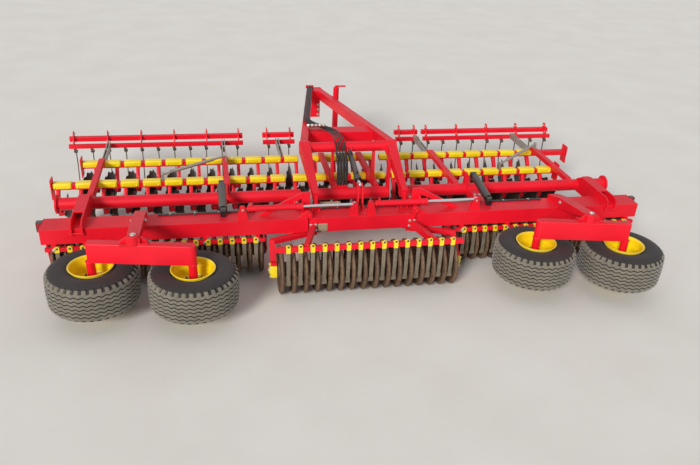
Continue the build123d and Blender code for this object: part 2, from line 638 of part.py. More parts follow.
with BuildPart() as fold_barrel_right:
    barrel((FOLD_BASE_X, FOLD_CYL_Y, FOLD_CYL_Z), (FOLD_EYE_X, FOLD_CYL_Y, FOLD_CYL_Z), FOLD_BARREL)
save(fold_barrel_right, "fold_barrel_right")

with BuildPart() as fold_rod_right:
    piston_rod((FOLD_BASE_X, FOLD_CYL_Y, FOLD_CYL_Z), (FOLD_EYE_X, FOLD_CYL_Y, FOLD_CYL_Z), FOLD_ROD)
save(fold_rod_right, "fold_rod_right")

for side, s in SIDES:
    # Wing box beam with its knuckles, brace post, packer hangers, scraper bar and bogie arm
    with BuildPart() as wing_beam:
        block(
            tuple(sorted((s * (FOLD_X + HINGE_GAP), s * BEAM_HALF))),
            (BEAM_REAR, BEAM_FRONT),
            (BEAM_BOTTOM, BEAM_TOP),
        )
        for y in (BEAM_REAR + 21, BEAM_FRONT - 41):
            plate_xz(
                (y, y + 20),
                [
                    (s * (FOLD_X + HINGE_GAP), BEAM_TOP - 1),
                    (s * (FOLD_X - 10), AXIS_Z),
                    (s * FOLD_X, AXIS_Z + 30),
                    (s * (FOLD_X + 40), AXIS_Z + 10),
                    (s * (FOLD_X + 130), BEAM_TOP - 1),
                ],
            )
            rod((s * FOLD_X, y, AXIS_Z), (s * FOLD_X, y + 20, AXIS_Z), KNUCKLE_R)
        rod((s * FOLD_X, -1450, AXIS_Z), (s * FOLD_X, -1100, AXIS_Z), PIN_R + RUN, mode=Mode.SUBTRACT)
        plate_xz(
            (-1275, -1245),
            [
                (s * 612, BEAM_TOP - 1), (s * 612, BEAM_TOP + 60), (s * POST_IN, BEAM_TOP + 75),
                (s * POST_IN, POST_TOP), (s * (POST_IN + POST_W), POST_TOP),
                (s * 1120, BEAM_TOP + 10), (s * 1120, BEAM_TOP - 1),
                (s * 1040, BEAM_TOP - 1), (s * (POST_IN + POST_W), POST_TOP - 70),
                (s * (POST_IN + POST_W), BEAM_TOP - 1),
            ],
        )
        for y in (FOLD_CYL_Y - CYL_EYE_W / 2 - 18, FOLD_CYL_Y + CYL_EYE_W / 2 + 6):
            plate_xz(
                (y, y + 12),
                [
                    (s * (FOLD_EYE_X - 60), BEAM_TOP - 1),
                    (s * (FOLD_EYE_X - 25), FOLD_CYL_Z + 25),
                    (s * (FOLD_EYE_X + 25), FOLD_CYL_Z + 25),
                    (s * (FOLD_EYE_X + 60), BEAM_TOP - 1),
                ],
            )
        if side == "left":
            rod((-FOLD_EYE_X, FOLD_CYL_Y - 25, FOLD_CYL_Z), (-FOLD_EYE_X, FOLD_CYL_Y + 25, FOLD_CYL_Z), CYL_PIN_R)
        for x in WING_BEARING_X:
            plate_yz(
                (s * x, s * (x + WING_BEARING_T)),
                [
                    (WING_PACK_Y - 120, BEAM_BOTTOM + 1), (WING_PACK_Y + 50, BEAM_BOTTOM + 1),
                    (WING_PACK_Y + 45, RING_R - 50), (WING_PACK_Y - 45, RING_R - 50),
                ],
            )
        rod((s * 1000, WING_PACK_Y, RING_R), (s * 3330, WING_PACK_Y, RING_R), STUB_R + RUN, mode=Mode.SUBTRACT)
        half = WING_BAR_BOX / 2
        block(
            tuple(sorted(s * x for x in WING_BAR_X)),
            (WING_BAR_Y - half, WING_BAR_Y + half),
            (WING_BAR_Z - half, WING_BAR_Z + half),
        )
        for x in WING_STRUT_X:
            block(
                (s * x - 20, s * x + 20),
                (WING_BAR_Y - half, BEAM_REAR + 40),
                (WING_BAR_Z, BEAM_BOTTOM + 1),
            )
        plate_yz(
            (s * PIVOT_X - 60, s * PIVOT_X + 60),
            [
                (BEAM_FRONT, BEAM_TOP - 1), (BEAM_FRONT, BEAM_TOP + 50), (BEAM_REAR, 830),
                (BOGIE_Y + 60, 905), (BOGIE_Y - 40, 905), (BOGIE_Y - 40, BOGIE_TOP + 12),
                (BOGIE_Y + 100, BOGIE_TOP + 12), (BEAM_REAR - 10, BEAM_TOP - 1),
            ],
        )
        rod((s * PIVOT_X, BOGIE_Y, BOGIE_TOP + SEAT), (s * PIVOT_X, BOGIE_Y, PIVOT_TOP), PIVOT_R)
        half, rear, front, thick = PIVOT_PLATE
        block(
            (s * PIVOT_X - half, s * PIVOT_X + half),
            (BOGIE_Y - rear, BOGIE_Y + front),
            (BOGIE_TOP + SEAT, BOGIE_TOP + SEAT + thick),
        )
    save(wing_beam, f"wing_beam_{side}")

    # Wing tool frame: round tube, fore-and-aft arms and row boxes
    with BuildPart() as wing_frame:
        tool_rows(side)
        rod((s * 600, TUBE_Y, TUBE_Z), (s * TUBE_END, TUBE_Y, TUBE_Z), TUBE_R)
        rod((s * (TUBE_END - 20), TUBE_Y, TUBE_Z), (s * TUBE_END, TUBE_Y, TUBE_Z), 105)
        for x in LINK_X:
            block(
                (s * x - LINK_W / 2, s * x + LINK_W / 2),
                (BEAM_FRONT + SEAT, TUBE_Y),
                (570, 670),
            )
        # Outer link carried on over the beam, hooked and pinned behind it
        for cheek in (-LINK_W / 2 - LINK_T, LINK_W / 2):
            plate_yz(
                (s * LINK_X[-1] + cheek, s * LINK_X[-1] + cheek + LINK_T),
                [
                    (TUBE_Y, TUBE_Z - 30), (TUBE_Y, TUBE_Z + TUBE_R + 20), (TUBE_Y - 110, LINK_TOP),
                    (BEAM_REAR + 30, LINK_TOP), (BEAM_REAR - 30, LINK_TOP - 30), (BEAM_REAR - 34, BEAM_TOP - 62),
                    (BEAM_REAR - SEAT, BEAM_TOP - 62), (BEAM_REAR - SEAT, BEAM_TOP + SEAT),
                    (BEAM_FRONT + SEAT, BEAM_TOP + SEAT), (BEAM_FRONT + SEAT, TUBE_Z - 30),
                ],
            )
        block(
            (s * LINK_X[-1] - LINK_W / 2 - 1, s * LINK_X[-1] + LINK_W / 2 + 1),
            (BEAM_FRONT - 60, TUBE_Y - 90),
            (LINK_TOP - 15, LINK_TOP),
        )
        rod(
            (s * LINK_X[-1] - LINK_W / 2 - 24, BEAM_REAR - 17, BEAM_TOP - 45),
            (s * LINK_X[-1] + LINK_W / 2 + 24, BEAM_REAR - 17, BEAM_TOP - 45),
            11,
        )
        plate_yz(
            (s * LEVER_X - 15, s * LEVER_X + 15),
            [(TUBE_Y - 70, TUBE_Z), (TUBE_Y - 30, 850), (TUBE_Y + 20, 870), (TUBE_Y + 60, TUBE_Z)],
        )
    save(wing_frame, f"wing_frame_{side}")

    with BuildPart() as wing_arms:
        disc_arms(side)
    save(wing_arms, f"wing_arms_{side}")

    with BuildPart() as wing_pads:
        pad_set(side)
    save(wing_pads, f"wing_pads_{side}")

    with BuildPart() as wing_discs:
        disc_set(side)
    save(wing_discs, f"wing_discs_{side}")

    # Levelling board: two bars joined by lug plates
    with BuildPart() as board:
        for section, low, high in BOARD_BARS:
            if section != side:
                continue
            half = BOARD_BOX / 2
            block((low, high), (BOARD_Y - half, BOARD_Y + half), (BOARD_Z - half, BOARD_Z + half))
            half = LOW_BOX / 2
            block((low, high), (LOW_Y - half, LOW_Y + half), (LOW_Z - half, LOW_Z + half))
            count = max(1, int((high - low - 100) // LUG_PITCH))
            for i in range(count + 1):
                x = low + 60 + (high - low - 120) * i / count
                plate_yz(
                    (x - 7, x + 7),
                    [
                        (LOW_Y - 24, LOW_Z), (BOARD_Y - 28, 770), (BOARD_Y + 20, 770),
                        (BOARD_Y + 28, BOARD_Z), (LOW_Y + 20, LOW_Z - 24),
                    ],
                )
    save(board, f"board_{side}")

    # Spring tines under the lower bar
    with BuildPart() as tines:
        for section, low, high in BOARD_BARS:
            if section != side:
                continue
            count = max(1, round((high - low - 160) / TINE_PITCH))
            for i in range(count + 1):
                x = low + 80 + (high - low - 160) * i / count
                bottom = LOW_Z - LOW_BOX / 2 - SEAT
                bar((x, LOW_Y, bottom), (x, LOW_Y, TINE_KNEE), TINE_BOX, TINE_BOX)
                bar((x, LOW_Y, TINE_KNEE + 5), (x, LOW_Y - 60, TINE_TIP), TINE_BOX, TINE_BOX)
    save(tines, f"tines_{side}")

    # Galvanised carriers of the board, and the side shift turnbuckle
    with BuildPart() as carriers:
        for x in CARRIER_X[side]:
            for edge in (-22, 10):
                block(
                    (x + edge, x + edge + 12),
                    (ROW_Y[0] + ROW_BOX / 2 + SEAT, LOW_Y - LOW_BOX / 2 - SEAT),
                    (ROW_TOP - 80, ROW_TOP - 2),
                )
            block((x - 22, x + 22), (900, 930), (ROW_TOP - 80, ROW_TOP - 2))
        rear, front = (Vector(*end) for end in SHIFT[side])
        along = (front - rear).normalized()
        rod(rear, front, 13)
        rod(rear + along * 180, front - along * 180, 20)
        for end, seat in ((rear, ROW_TOP), (front, ROW_TOP + ARM_H)):
            rod(end - Vector(9, 0, 0), end + Vector(9, 0, 0), 26)
            block((end.X - 9, end.X + 9), (end.Y - 20, end.Y + 20), (seat + SEAT, end.Z))
    save(carriers, f"carriers_{side}")

    # Black depth cylinder between the tube lever and the beam
    with BuildPart() as depth_cylinder:
        start = Vector(s * DEPTH_X, TUBE_Y - 20, 850)
        end = Vector(s * DEPTH_X, -1240, BEAM_TOP + 65)
        along = (end - start).normalized()
        rod(start - Vector(30, 0, 0), start + Vector(30, 0, 0), 30)
        rod(start, end, 22)
        rod(start + along * 60, end - along * 20, 45)
        rod(end - Vector(30, 0, 0), end + Vector(30, 0, 0), 30)
        block((start.X - 30, start.X + 30), (end.Y - 35, end.Y + 35), (BEAM_TOP + SEAT, end.Z))
    save(depth_cylinder, f"depth_cylinder_{side}")

    # Yellow scraper clamps on the wing's scraper bar
    with BuildPart() as scrapers:
        top, low = WING_BAR_Z + WING_BAR_BOX / 2, WING_BAR_Z - WING_BAR_BOX / 2
        rear, front = WING_BAR_Y - WING_BAR_BOX / 2, WING_BAR_Y + WING_BAR_BOX / 2
        for ring in WING_RINGS[:-1]:
            x = s * (ring + RING_PITCH / 2)
            plate_yz(
                (x - 26, x + 26),
                [
                    (rear - SEAT, top - 8), (rear - 10, top - 8), (rear - 10, low - 10),
                    (front + 4, low - 10), (front + 4, low - SEAT), (rear - SEAT, low - SEAT),
                ],
            )
            block((x - BLADE_W / 2, x + BLADE_W / 2), (rear - 9, rear - 3), (BLADE_LOW, low - 5))
    save(scrapers, f"scrapers_{side}")

    with BuildPart() as wing_packer:
        low, high = WING_PACK_X
        roller(*sorted((s * low, s * high)), WING_PACK_Y, [s * x for x in WING_RINGS], 30)
    save(wing_packer, f"wing_packer_{side}")

    # Rear lamp in its black housing, bolted to the beam's end
    with BuildPart() as lamp:
        with Locations((s * (BEAM_HALF + SEAT + LAMP[0] / 2), LAMP_Y, LAMP_Z)):
            Box(*LAMP)
        fillet(lamp.edges().filter_by(Axis.X), 12)
    save(lamp, f"lamp_{side}")

    # Bogie beam with a tube at its inner end and two stub axles that hang down into the wheels
    ends = []
    for end in (-1, 1):
        ends.append(
            (
                s * BOGIE_X + end * BOGIE_HALF * cos(BOGIE_ANGLE),
                BOGIE_Y + end * BOGIE_HALF * sin(BOGIE_ANGLE),
            )
        )
    with BuildPart() as bogie:
        middle = (BOGIE_LOW + BOGIE_TOP) / 2
        outer, inner = (Vector(*ends[i], middle) for i in ((0, 1) if s < 0 else (1, 0)))
        along = (outer - inner).normalized()
        bar(inner, outer + along * BOGIE_OVERHANG, BOGIE_W, BOGIE_TOP - BOGIE_LOW)
        for end, top in ((inner, BOGIE_TOP), (outer, BOGIE_LOW + 1)):
            rod((end.X, end.Y, SPINDLE_LOW), (end.X, end.Y, top), SPINDLE_R)
            rod((end.X, end.Y, AXLE_LOW), (end.X, end.Y, SPINDLE_LOW + 1), AXLE_R)
    save(bogie, f"bogie_{side}")

    # Wheels, laid flat under the bogie: outer and inner
    for place, (x, y) in zip(("outer", "inner") if s < 0 else ("inner", "outer"), ends):
        low, high = TYRE_TOP - TYRE_W, TYRE_TOP
        with BuildPart() as tyre:
            profile = (
                (FLANGE_R + 30, low), (TYRE_R - 60, low + 10), (TYRE_R - 18, low + 45), (TYRE_R, low + 90),
                (TYRE_R, high - 90), (TYRE_R - 18, high - 45), (TYRE_R - 60, high - 10), (FLANGE_R + 30, high),
            )
            flat_loft(*[corners(radius, TYRE_SIDES, level, (x, y)) for radius, level in profile])
            with BuildSketch(Plane((x, y, low))):
                RegularPolygon(BEAD_R + SEAT, TYRE_SIDES, major_radius=False)
            extrude(amount=TYRE_W, mode=Mode.SUBTRACT)
        save(tyre, f"tyre_{side}_{place}")
        with BuildPart() as rim:
            turned(
                (x, y, 0),
                (0, 0, 1),
                [
                    (BEAD_R, low), (BEAD_R - 12, low), (BEAD_R - 12, 380), (75, 380), (75, 340),
                    (AXLE_R + RUN, 340), (AXLE_R + RUN, 500), (75, 500), (75, 395), (BEAD_R - 12, 395),
                    (BEAD_R - 12, high + 8), (FLANGE_R, high + 8), (FLANGE_R, high + SEAT), (BEAD_R, high + SEAT),
                ],
            )
        save(rim, f"rim_{side}_{place}")
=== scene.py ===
"""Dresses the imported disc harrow: tyres, rims, discs, packer rings, clamp pads, fittings and finishes.

Lengths are millimetres in the machine's frame, +X to its right and +Y to its hitch, until a piece is placed.
"""

import json
import logging
from collections.abc import Callable, Iterable, Sequence
from dataclasses import dataclass
from enum import Enum
from math import cos, pi, radians, sin, sqrt

import bmesh
import bpy
from mathutils import Matrix, Vector


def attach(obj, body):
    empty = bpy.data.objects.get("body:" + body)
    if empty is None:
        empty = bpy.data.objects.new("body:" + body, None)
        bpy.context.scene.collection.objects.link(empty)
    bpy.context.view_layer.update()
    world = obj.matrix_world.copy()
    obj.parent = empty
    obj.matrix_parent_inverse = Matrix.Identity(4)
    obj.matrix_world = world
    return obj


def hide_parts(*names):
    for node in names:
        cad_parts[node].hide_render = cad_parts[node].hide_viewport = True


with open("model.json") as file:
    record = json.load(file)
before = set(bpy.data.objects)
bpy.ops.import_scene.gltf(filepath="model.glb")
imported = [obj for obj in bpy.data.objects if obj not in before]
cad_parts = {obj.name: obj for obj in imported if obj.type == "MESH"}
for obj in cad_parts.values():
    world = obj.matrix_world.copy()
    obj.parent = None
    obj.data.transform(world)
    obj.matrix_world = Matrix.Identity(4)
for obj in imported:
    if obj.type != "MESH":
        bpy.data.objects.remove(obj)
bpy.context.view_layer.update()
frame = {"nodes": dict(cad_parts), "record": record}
LOG = logging.getLogger("harrow")
Pair = tuple[float, float]
Point = tuple[float, float, float]
Mesh = bmesh.types.BMesh
Warp = Callable[[int, float, float, float], Pair]
Pick = Callable[[int, int], int]
MM = 0.001

# Places that several sub-assemblies share, as in the CAD
ROW_Y, THROW = (445, -175), (-1, 1)
FRAME_ARMS = {"left": (-2933.5, -1433.5), "centre": (-183.5, 316.5), "right": (1316.5, 2816.5)}
FRAME_ARM_HALF = 31.3
DISC_PITCH, DISC_TRAIL, DISC_Z, TOE = 250, 50, 330, radians(17)
# Columns: section, row, first disc and number of discs
ROWS = (
    ("left", 0, -3067, 11), ("centre", 0, -317, 4), ("right", 0, 683, 9),
    ("left", 1, -3300, 11), ("centre", 1, -550, 5), ("right", 1, 700, 9),
)
# Columns: section, row, low end and high end of the row box
ROW_BOXES = (
    ("left", 0, -3170, -487), ("centre", 0, -397, 513), ("right", 0, 603, 3300),
    ("left", 1, -3410, -720), ("centre", 1, -630, 530), ("right", 1, 620, 2870),
)
RING_PITCH, WING_RING, WING_RINGS, CENTRE_RING, CENTRE_RINGS = 125, 1110, 18, -937.5, 16
WING_LAST_RING = WING_RING + RING_PITCH * (WING_RINGS - 1)
PACKER_Y, CENTRE_PACKER_Y, WING_CORE, CENTRE_CORE = -1195, -1688, (1065, 3270), (-965, 965)
# Middle (y, z) and half width of the scraper bars
WING_BAR, CENTRE_BAR = (-1415, 490, 20), (-1859, 600, 25)
BOGIE_X, BOGIE_Y, BOGIE_HALF, BOGIE_TURN = 2297, -1996, 485, radians(-9.5)
PIVOT_X, HINGE_X, HINGE_LUG, HINGE_Y, HINGE_Z = 2350, 500, 55, -1200, 747
STRUT_X, LINK_X, HANGER_X, HEAD_PLATE_Y = (1150, 1700, 2900, 3200), (700, 1500), 552, 2380
# Nearer and farther end of the fold cylinders, with their y and z
FOLD_X, FOLD_Y, FOLD_Z = (90, 1300), -1340, 825
# Columns: name, body and span of the steel lines on each beam
STEEL_LINES = (("left", "wing_left", (-2180, -1160)), ("centre_left", "beam", (-430, -75)),
               ("centre_right", "beam", (75, 430)), ("right", "wing_right", (1560, 2180)))
# Low and high end of each bar of the levelling boards
BOARD_BARS = {"left": ((-3450, -1160), (-885, -440)), "right": ((1036, 1386), (1448, 3450))}
LUG_MARGIN, LUG_ENDS, LUG_PITCH, LUG_HALF, TINE_MARGIN, TINE_PITCH = 60, 100, 400, 7, 80, 220
LUG_BOLTS = ((1292, 735), (1330, 735), (1250, 650))


class Side(Enum):
    """Side of the machine, with the sign of its x."""

    LEFT = -1
    RIGHT = 1

    @property
    def word(self) -> str:
        """Side as the node names have it."""
        return self.name.lower()

    def span(self, ends: Pair) -> Pair:
        """Low and high x on this side of a stretch that is given on the right."""
        low, high = sorted(self.value * end for end in ends)
        return low, high


# Colours, nodes and finishes


def linear(code: str) -> tuple[float, float, float, float]:
    """Turn an sRGB hex colour into linear light.

    Args:
        code: six hex digits after a hash sign.

    Returns:
        Red, green, blue and an alpha of one.
    """
    channels = [int(code[i:i + 2], 16) / 255 for i in (1, 3, 5)]
    return (*[c / 12.92 if c <= 0.04045 else ((c + 0.055) / 1.055) ** 2.4 for c in channels], 1.0)


def per_metre(size_mm: float) -> float:
    """Texture scale at which one feature of a pattern is about this long."""
    return 1000 / size_mm


def add_node(tree: bpy.types.NodeTree, kind: str, inputs: dict | None = None, **settings) -> bpy.types.Node:
    """Add a node to a tree.

    Args:
        tree: node tree that takes the node.
        kind: type name of the node.
        inputs: value, or socket to link from, for each input by name or index.
        **settings: attributes set on the node.

    Returns:
        The new node.
    """
    node = tree.nodes.new(kind)
    for name, value in settings.items():
        setattr(node, name, value)
    for name, value in (inputs or {}).items():
        if isinstance(value, bpy.types.NodeSocket):
            tree.links.new(value, node.inputs[name])
        else:
            node.inputs[name].default_value = value
    return node


# Shares of a noise, heights of a normal and cosines of an edge, between which one tone turns into the next
DRIFT_SPAN, CLOUD_SPAN, LEVEL_SPAN, WORN_AND_HIGHLIT_SPAN = (0.35, 0.65), (0.3, 0.7), (0.35, 0.95), (0.985, 0.88)
PATCH_SPAN, PATCH_SHIFT, CLOUD_MM = (0.7, 0.86), 0.45, 150


@dataclass(frozen=True)
class Finish:
    """Surface finish: a base colour that drifts, a second tone in patches, a tone on upward faces and a pale
    tone on edges. The upward tone is settled soil, and on the red enamel a darker red that is painted shade
    on the tops; the edge tone is partly wear and partly a painted highlight.

    Sizes are millimetres on the object. Subclasses say what the real surface is and set its values.
    """

    name: str
    slot: str
    base: str
    drift: str
    patch: str
    dust: str
    edge: str
    drift_mm: float = 420
    patch_mm: float = 60
    patch_share: float = 0.2
    dust_share: float = 0.3
    edge_share: float = 0.5
    edge_mm: float = 5
    metallic: float = 0.0
    roughness: float = 0.4
    dusty_roughness: float = 0.8
    grain_mm: float = 3
    grain_height: float = 0.05

    def colour(self, tree: bpy.types.NodeTree, place: bpy.types.NodeSocket, dusty_and_shaded: bpy.types.NodeSocket,
               worn_and_highlit: bpy.types.NodeSocket) -> bpy.types.NodeSocket:
        """Lay the tones over each other.

        Args:
            tree: tree of the material.
            place: object coordinates.
            dusty_and_shaded: share of the upward tone at each point: settled soil, and on the red enamel
                painted shade on the tops.
            worn_and_highlit: share of the pale edge tone at each point, partly edge wear and partly a painted
                highlight.

        Returns:
            Socket of the finished colour.
        """
        slow = add_node(tree, "ShaderNodeTexNoise",
                        {"Vector": place, "Scale": per_metre(self.drift_mm), "Detail": 3.0})
        tone = add_node(tree, "ShaderNodeMapRange",
                        {0: slow.outputs[0], 1: DRIFT_SPAN[0], 2: DRIFT_SPAN[1], 3: 0.0, 4: 1.0})
        quick = add_node(tree, "ShaderNodeTexNoise", {"Vector": place, "Scale": per_metre(self.patch_mm),
                                                      "Detail": 6.0, "Roughness": 0.65})
        first, last = (edge - PATCH_SHIFT * self.patch_share for edge in PATCH_SPAN)
        spots = add_node(tree, "ShaderNodeMapRange", {0: quick.outputs[0], 1: first, 2: last, 3: 0.0,
                                                      4: min(1.0, 0.4 + self.patch_share)})
        result = linear(self.base)
        # Tones in order: drift, patches, the pale edge tone that is partly wear and partly a painted
        # highlight, and the upward tone that is settled soil and, on the red enamel, painted shade on the
        # tops
        for share, tint in ((tone.outputs[0], self.drift), (spots.outputs[0], self.patch), (worn_and_highlit, self.edge),
                            (dusty_and_shaded, self.dust)):
            result = add_node(tree, "ShaderNodeMix", {0: share, 6: result, 7: linear(tint)},
                              data_type="RGBA").outputs[2]
        return result

    def build(self) -> bpy.types.Material:
        """Make the material, or give back the one that is already made."""
        made = bpy.data.materials.get(self.name)
        if made is not None:
            return made
        material = bpy.data.materials.new(self.name)
        material.use_nodes = True
        tree = material.node_tree
        shader = tree.nodes["Principled BSDF"]
        coords = add_node(tree, "ShaderNodeTexCoord")
        # Upward faces catch dust, in thin and thick patches; on the red enamel this tone is a darker red,
        # painted shade on the tops
        upward = add_node(tree, "ShaderNodeSeparateXYZ", {0: coords.outputs["Normal"]})
        level = add_node(tree, "ShaderNodeMapRange",
                         {0: upward.outputs[2], 1: LEVEL_SPAN[0], 2: LEVEL_SPAN[1], 3: 0.0, 4: 1.0})
        place = coords.outputs["Object"]
        cloud = add_node(tree, "ShaderNodeTexNoise",
                         {"Vector": place, "Scale": per_metre(CLOUD_MM), "Detail": 5.0})
        cover = add_node(tree, "ShaderNodeMapRange",
                         {0: cloud.outputs[0], 1: CLOUD_SPAN[0], 2: CLOUD_SPAN[1], 3: 0.45 * self.dust_share,
                          4: self.dust_share})
        dusty_and_shaded = add_node(tree, "ShaderNodeMath", {0: level.outputs[0], 1: cover.outputs[0]},
                         operation="MULTIPLY")
        # Edges are found where the rounded normal leaves the face's own; the pale tone there is partly edge
        # wear, partly a painted highlight
        round_off = add_node(tree, "ShaderNodeBevel", {"Radius": self.edge_mm * MM}, samples=4)
        facing = add_node(tree, "ShaderNodeNewGeometry")
        match = add_node(tree, "ShaderNodeVectorMath",
                         {0: round_off.outputs[0], 1: facing.outputs["Normal"]}, operation="DOT_PRODUCT")
        worn_and_highlit = add_node(tree, "ShaderNodeMapRange",
                        {0: match.outputs["Value"], 1: WORN_AND_HIGHLIT_SPAN[0], 2: WORN_AND_HIGHLIT_SPAN[1], 3: 0.0,
                         4: self.edge_share})
        colour = self.colour(tree, place, dusty_and_shaded.outputs[0], worn_and_highlit.outputs[0])
        tree.links.new(colour, shader.inputs["Base Color"])
        dull = add_node(tree, "ShaderNodeMapRange",
                        {0: dusty_and_shaded.outputs[0], 1: 0.0, 2: 1.0, 3: self.roughness, 4: self.dusty_roughness})
        tree.links.new(dull.outputs[0], shader.inputs["Roughness"])
        grain = add_node(tree, "ShaderNodeTexNoise",
                         {"Vector": place, "Scale": per_metre(self.grain_mm), "Detail": 3.0})
        bump = add_node(tree, "ShaderNodeBump", {"Strength": 0.5, "Distance": self.grain_height * MM * 4,
                                                 "Height": grain.outputs[0], "Normal": round_off.outputs[0]})
        tree.links.new(bump.outputs[0], shader.inputs["Normal"])
        shader.inputs["Metallic"].default_value = self.metallic
        self.gloss(shader)
        return material

    def gloss(self, shader: bpy.types.Node) -> None:
        """Set what the finish adds to the shader; the plain finish adds nothing."""


@dataclass(frozen=True)
class Enamel(Finish):
    """Two-pack enamel sprayed on blasted steel: saturated under a thin clear gloss, chalked by the sun."""

    coat: float = 0.25
    mirror: float = 0.5

    def gloss(self, shader: bpy.types.Node) -> None:
        """Add the clear gloss that floats to the top of the coat, and the chalking that dims its mirror."""
        shader.inputs["Specular IOR Level"].default_value = self.mirror
        shader.inputs["Coat Weight"].default_value = self.coat
        shader.inputs["Coat Roughness"].default_value = 0.18


@dataclass(frozen=True)
class Rubber(Finish):
    """Vulcanised rubber: dull, dark and a little soft at grazing angles."""

    haze: float = 0.25

    def gloss(self, shader: bpy.types.Node) -> None:
        """Add the pale haze that rubber and its dust show at grazing angles."""
        shader.inputs["Sheen Weight"].default_value = self.haze
        shader.inputs["Sheen Roughness"].default_value = 0.5
        shader.inputs["IOR"].default_value = 1.52


@dataclass(frozen=True)
class Lens(Finish):
    """Moulded acrylic lens: clear colour with a hard gloss."""

    def gloss(self, shader: bpy.types.Node) -> None:
        """Let some light into the lens."""
        shader.inputs["Transmission Weight"].default_value = 0.25
        shader.inputs["IOR"].default_value = 1.49


# Red enamel has sun-bleached drift, a darker red on upward faces in dust-like patches that is painted shade
# on the tops, and pale edges that are partly chipping and partly a painted highlight
RED = Enamel("red_enamel", "red_paint", "#f0142c", "#e41026", "#cf1424", "#93343c", "#ff5c60",
             patch_share=0.12, dust_share=0.22, roughness=0.44, coat=0.04, mirror=0.28)
# Yellow enamel of pads, clamps and rims is clean and warm, with soil on its upper faces
YELLOW = Enamel("yellow_enamel", "yellow_paint", "#fde30c", "#f8d70a", "#e8c016", "#e0c468", "#fff08c",
                patch_share=0.1, dust_share=0.22, roughness=0.4, patch_mm=90)
# Black enamel of the small cylinders and lamp housings is glossy under grey dust
BLACK = Enamel("black_enamel", "black_paint", "#16161a", "#1d1c1e", "#2a2827", "#7b7367", "#5a5856",
               patch_share=0.1, dust_share=0.35, roughness=0.3)
# Hot-formed disc steel is dark, soil-polished in places and rusty in others
DISC = Finish("soil_polished_disc_steel", "disc_steel", "#2f2a26", "#3b322b", "#5b402c", "#7a6a58", "#a39a8f",
              drift_mm=160, patch_mm=35, patch_share=0.4, dust_share=0.4, edge_share=0.7, metallic=0.55,
              roughness=0.46, grain_mm=5, grain_height=0.15)
# Rolled packer rings carry dry soil on rust, paler at the crest and edges from wear and a painted highlight
RING = Finish("soil_covered_ring_steel", "ring_steel", "#6b5240", "#7a6048", "#4d3a2e", "#8f7b64", "#9a8a78",
              drift_mm=220, patch_mm=30, patch_share=0.5, dust_share=0.5, edge_share=0.5, metallic=0.25,
              roughness=0.62, grain_mm=4, grain_height=0.3)
# Hot-dip zinc shows pale and dull grey crystals a finger wide
ZINC = Finish("hot_dip_zinc", "galvanised", "#a8a297", "#98938a", "#bdb8ae", "#a8978a", "#c9c5bd",
              drift_mm=90, patch_mm=14, patch_share=0.5, dust_share=0.5, metallic=0.6, roughness=0.45)
# Zinc-plated bolts are brighter and finer than dipped steel
PLATED = Finish("zinc_plated_bolt_steel", "galvanised", "#c9c5bc", "#b9b4aa", "#a39c8e", "#b5a893", "#e4e1da",
                drift_mm=60, patch_mm=8, patch_share=0.2, dust_share=0.2, metallic=0.75, roughness=0.32)
# Hard chrome on ground rod is bright and nearly clean
CHROME = Finish("hard_chromed_rod", "chrome_rod", "#d9d9d8", "#cfd0d1", "#b9b6b0", "#c2bbae", "#f0f0f0",
                drift_mm=200, patch_share=0.05, dust_share=0.2, metallic=1.0, roughness=0.14,
                dusty_roughness=0.5, grain_height=0.01)
# Stained plate is zinc under a crust of pale dried soil
STAINED = Finish("soil_stained_plate", "galvanised", "#b39a7c", "#a48b6f", "#8c7660", "#bca78a", "#c9b89c",
                 drift_mm=80, patch_mm=20, patch_share=0.45, dust_share=0.5, roughness=0.8, grain_height=0.3)
# Spring and eye steel, worn bare and rusted brown between
STEEL = Finish("worn_spring_steel", "worn_steel", "#5a5149", "#6a5c50", "#74492f", "#8a7c6c", "#b3aca3",
               drift_mm=120, patch_mm=22, patch_share=0.35, dust_share=0.3, metallic=0.7, roughness=0.44)
# Blade steel between the rings is grey-beige with dried soil
BLADE = Finish("soil_worn_blade_steel", "worn_steel", "#7f7261", "#8f8371", "#5f4b3b", "#9a8c78", "#c0b7a8",
               drift_mm=60, patch_mm=16, patch_share=0.35, dust_share=0.3, metallic=0.45, roughness=0.5)
# Tread rubber is scrubbed grey-brown with field dust
TREAD = Rubber("scrubbed_tread_rubber", "tyre_rubber", "#706a5e", "#7d7668", "#5a5449", "#8a8272", "#989180",
               drift_mm=120, patch_mm=25, patch_share=0.4, dust_share=0.4, edge_share=0.35, edge_mm=3,
               roughness=0.85, dusty_roughness=0.92, grain_mm=6, grain_height=0.25)
# Tread grooves keep the dark of the rubber under caked dust, darkened further by painted shade in the
# recesses
SHADED_GROOVE = Rubber("dark_groove_rubber_and_painted_shade", "tyre_rubber", "#2b2723", "#36302a", "#211e1c", "#4a443b", "#3f3932",
                drift_mm=120, patch_mm=25, patch_share=0.3, dust_share=0.4, edge_share=0.1, roughness=0.9,
                dusty_roughness=0.94, grain_mm=6, grain_height=0.25, haze=0.1)
# Sidewall rubber is smooth, dark and slightly brown
SIDEWALL = Rubber("moulded_sidewall_rubber", "tyre_rubber", "#221d1d", "#292323", "#1b1718", "#403836",
                  "#332d2c", drift_mm=160, patch_mm=50, patch_share=0.25, dust_share=0.16, edge_share=0.2,
                  roughness=0.72, dusty_roughness=0.85, grain_mm=8, grain_height=0.1, haze=0.04)
# Hose cover is matt black rubber with the weave of its braid pressed through
HOSE = Rubber("braided_hose_rubber", "hose_rubber", "#171313", "#1e1919", "#241c1b", "#3e3530", "#2e2624",
              drift_mm=80, patch_mm=12, patch_share=0.3, dust_share=0.15, roughness=0.62, grain_mm=4,
              haze=0.05)
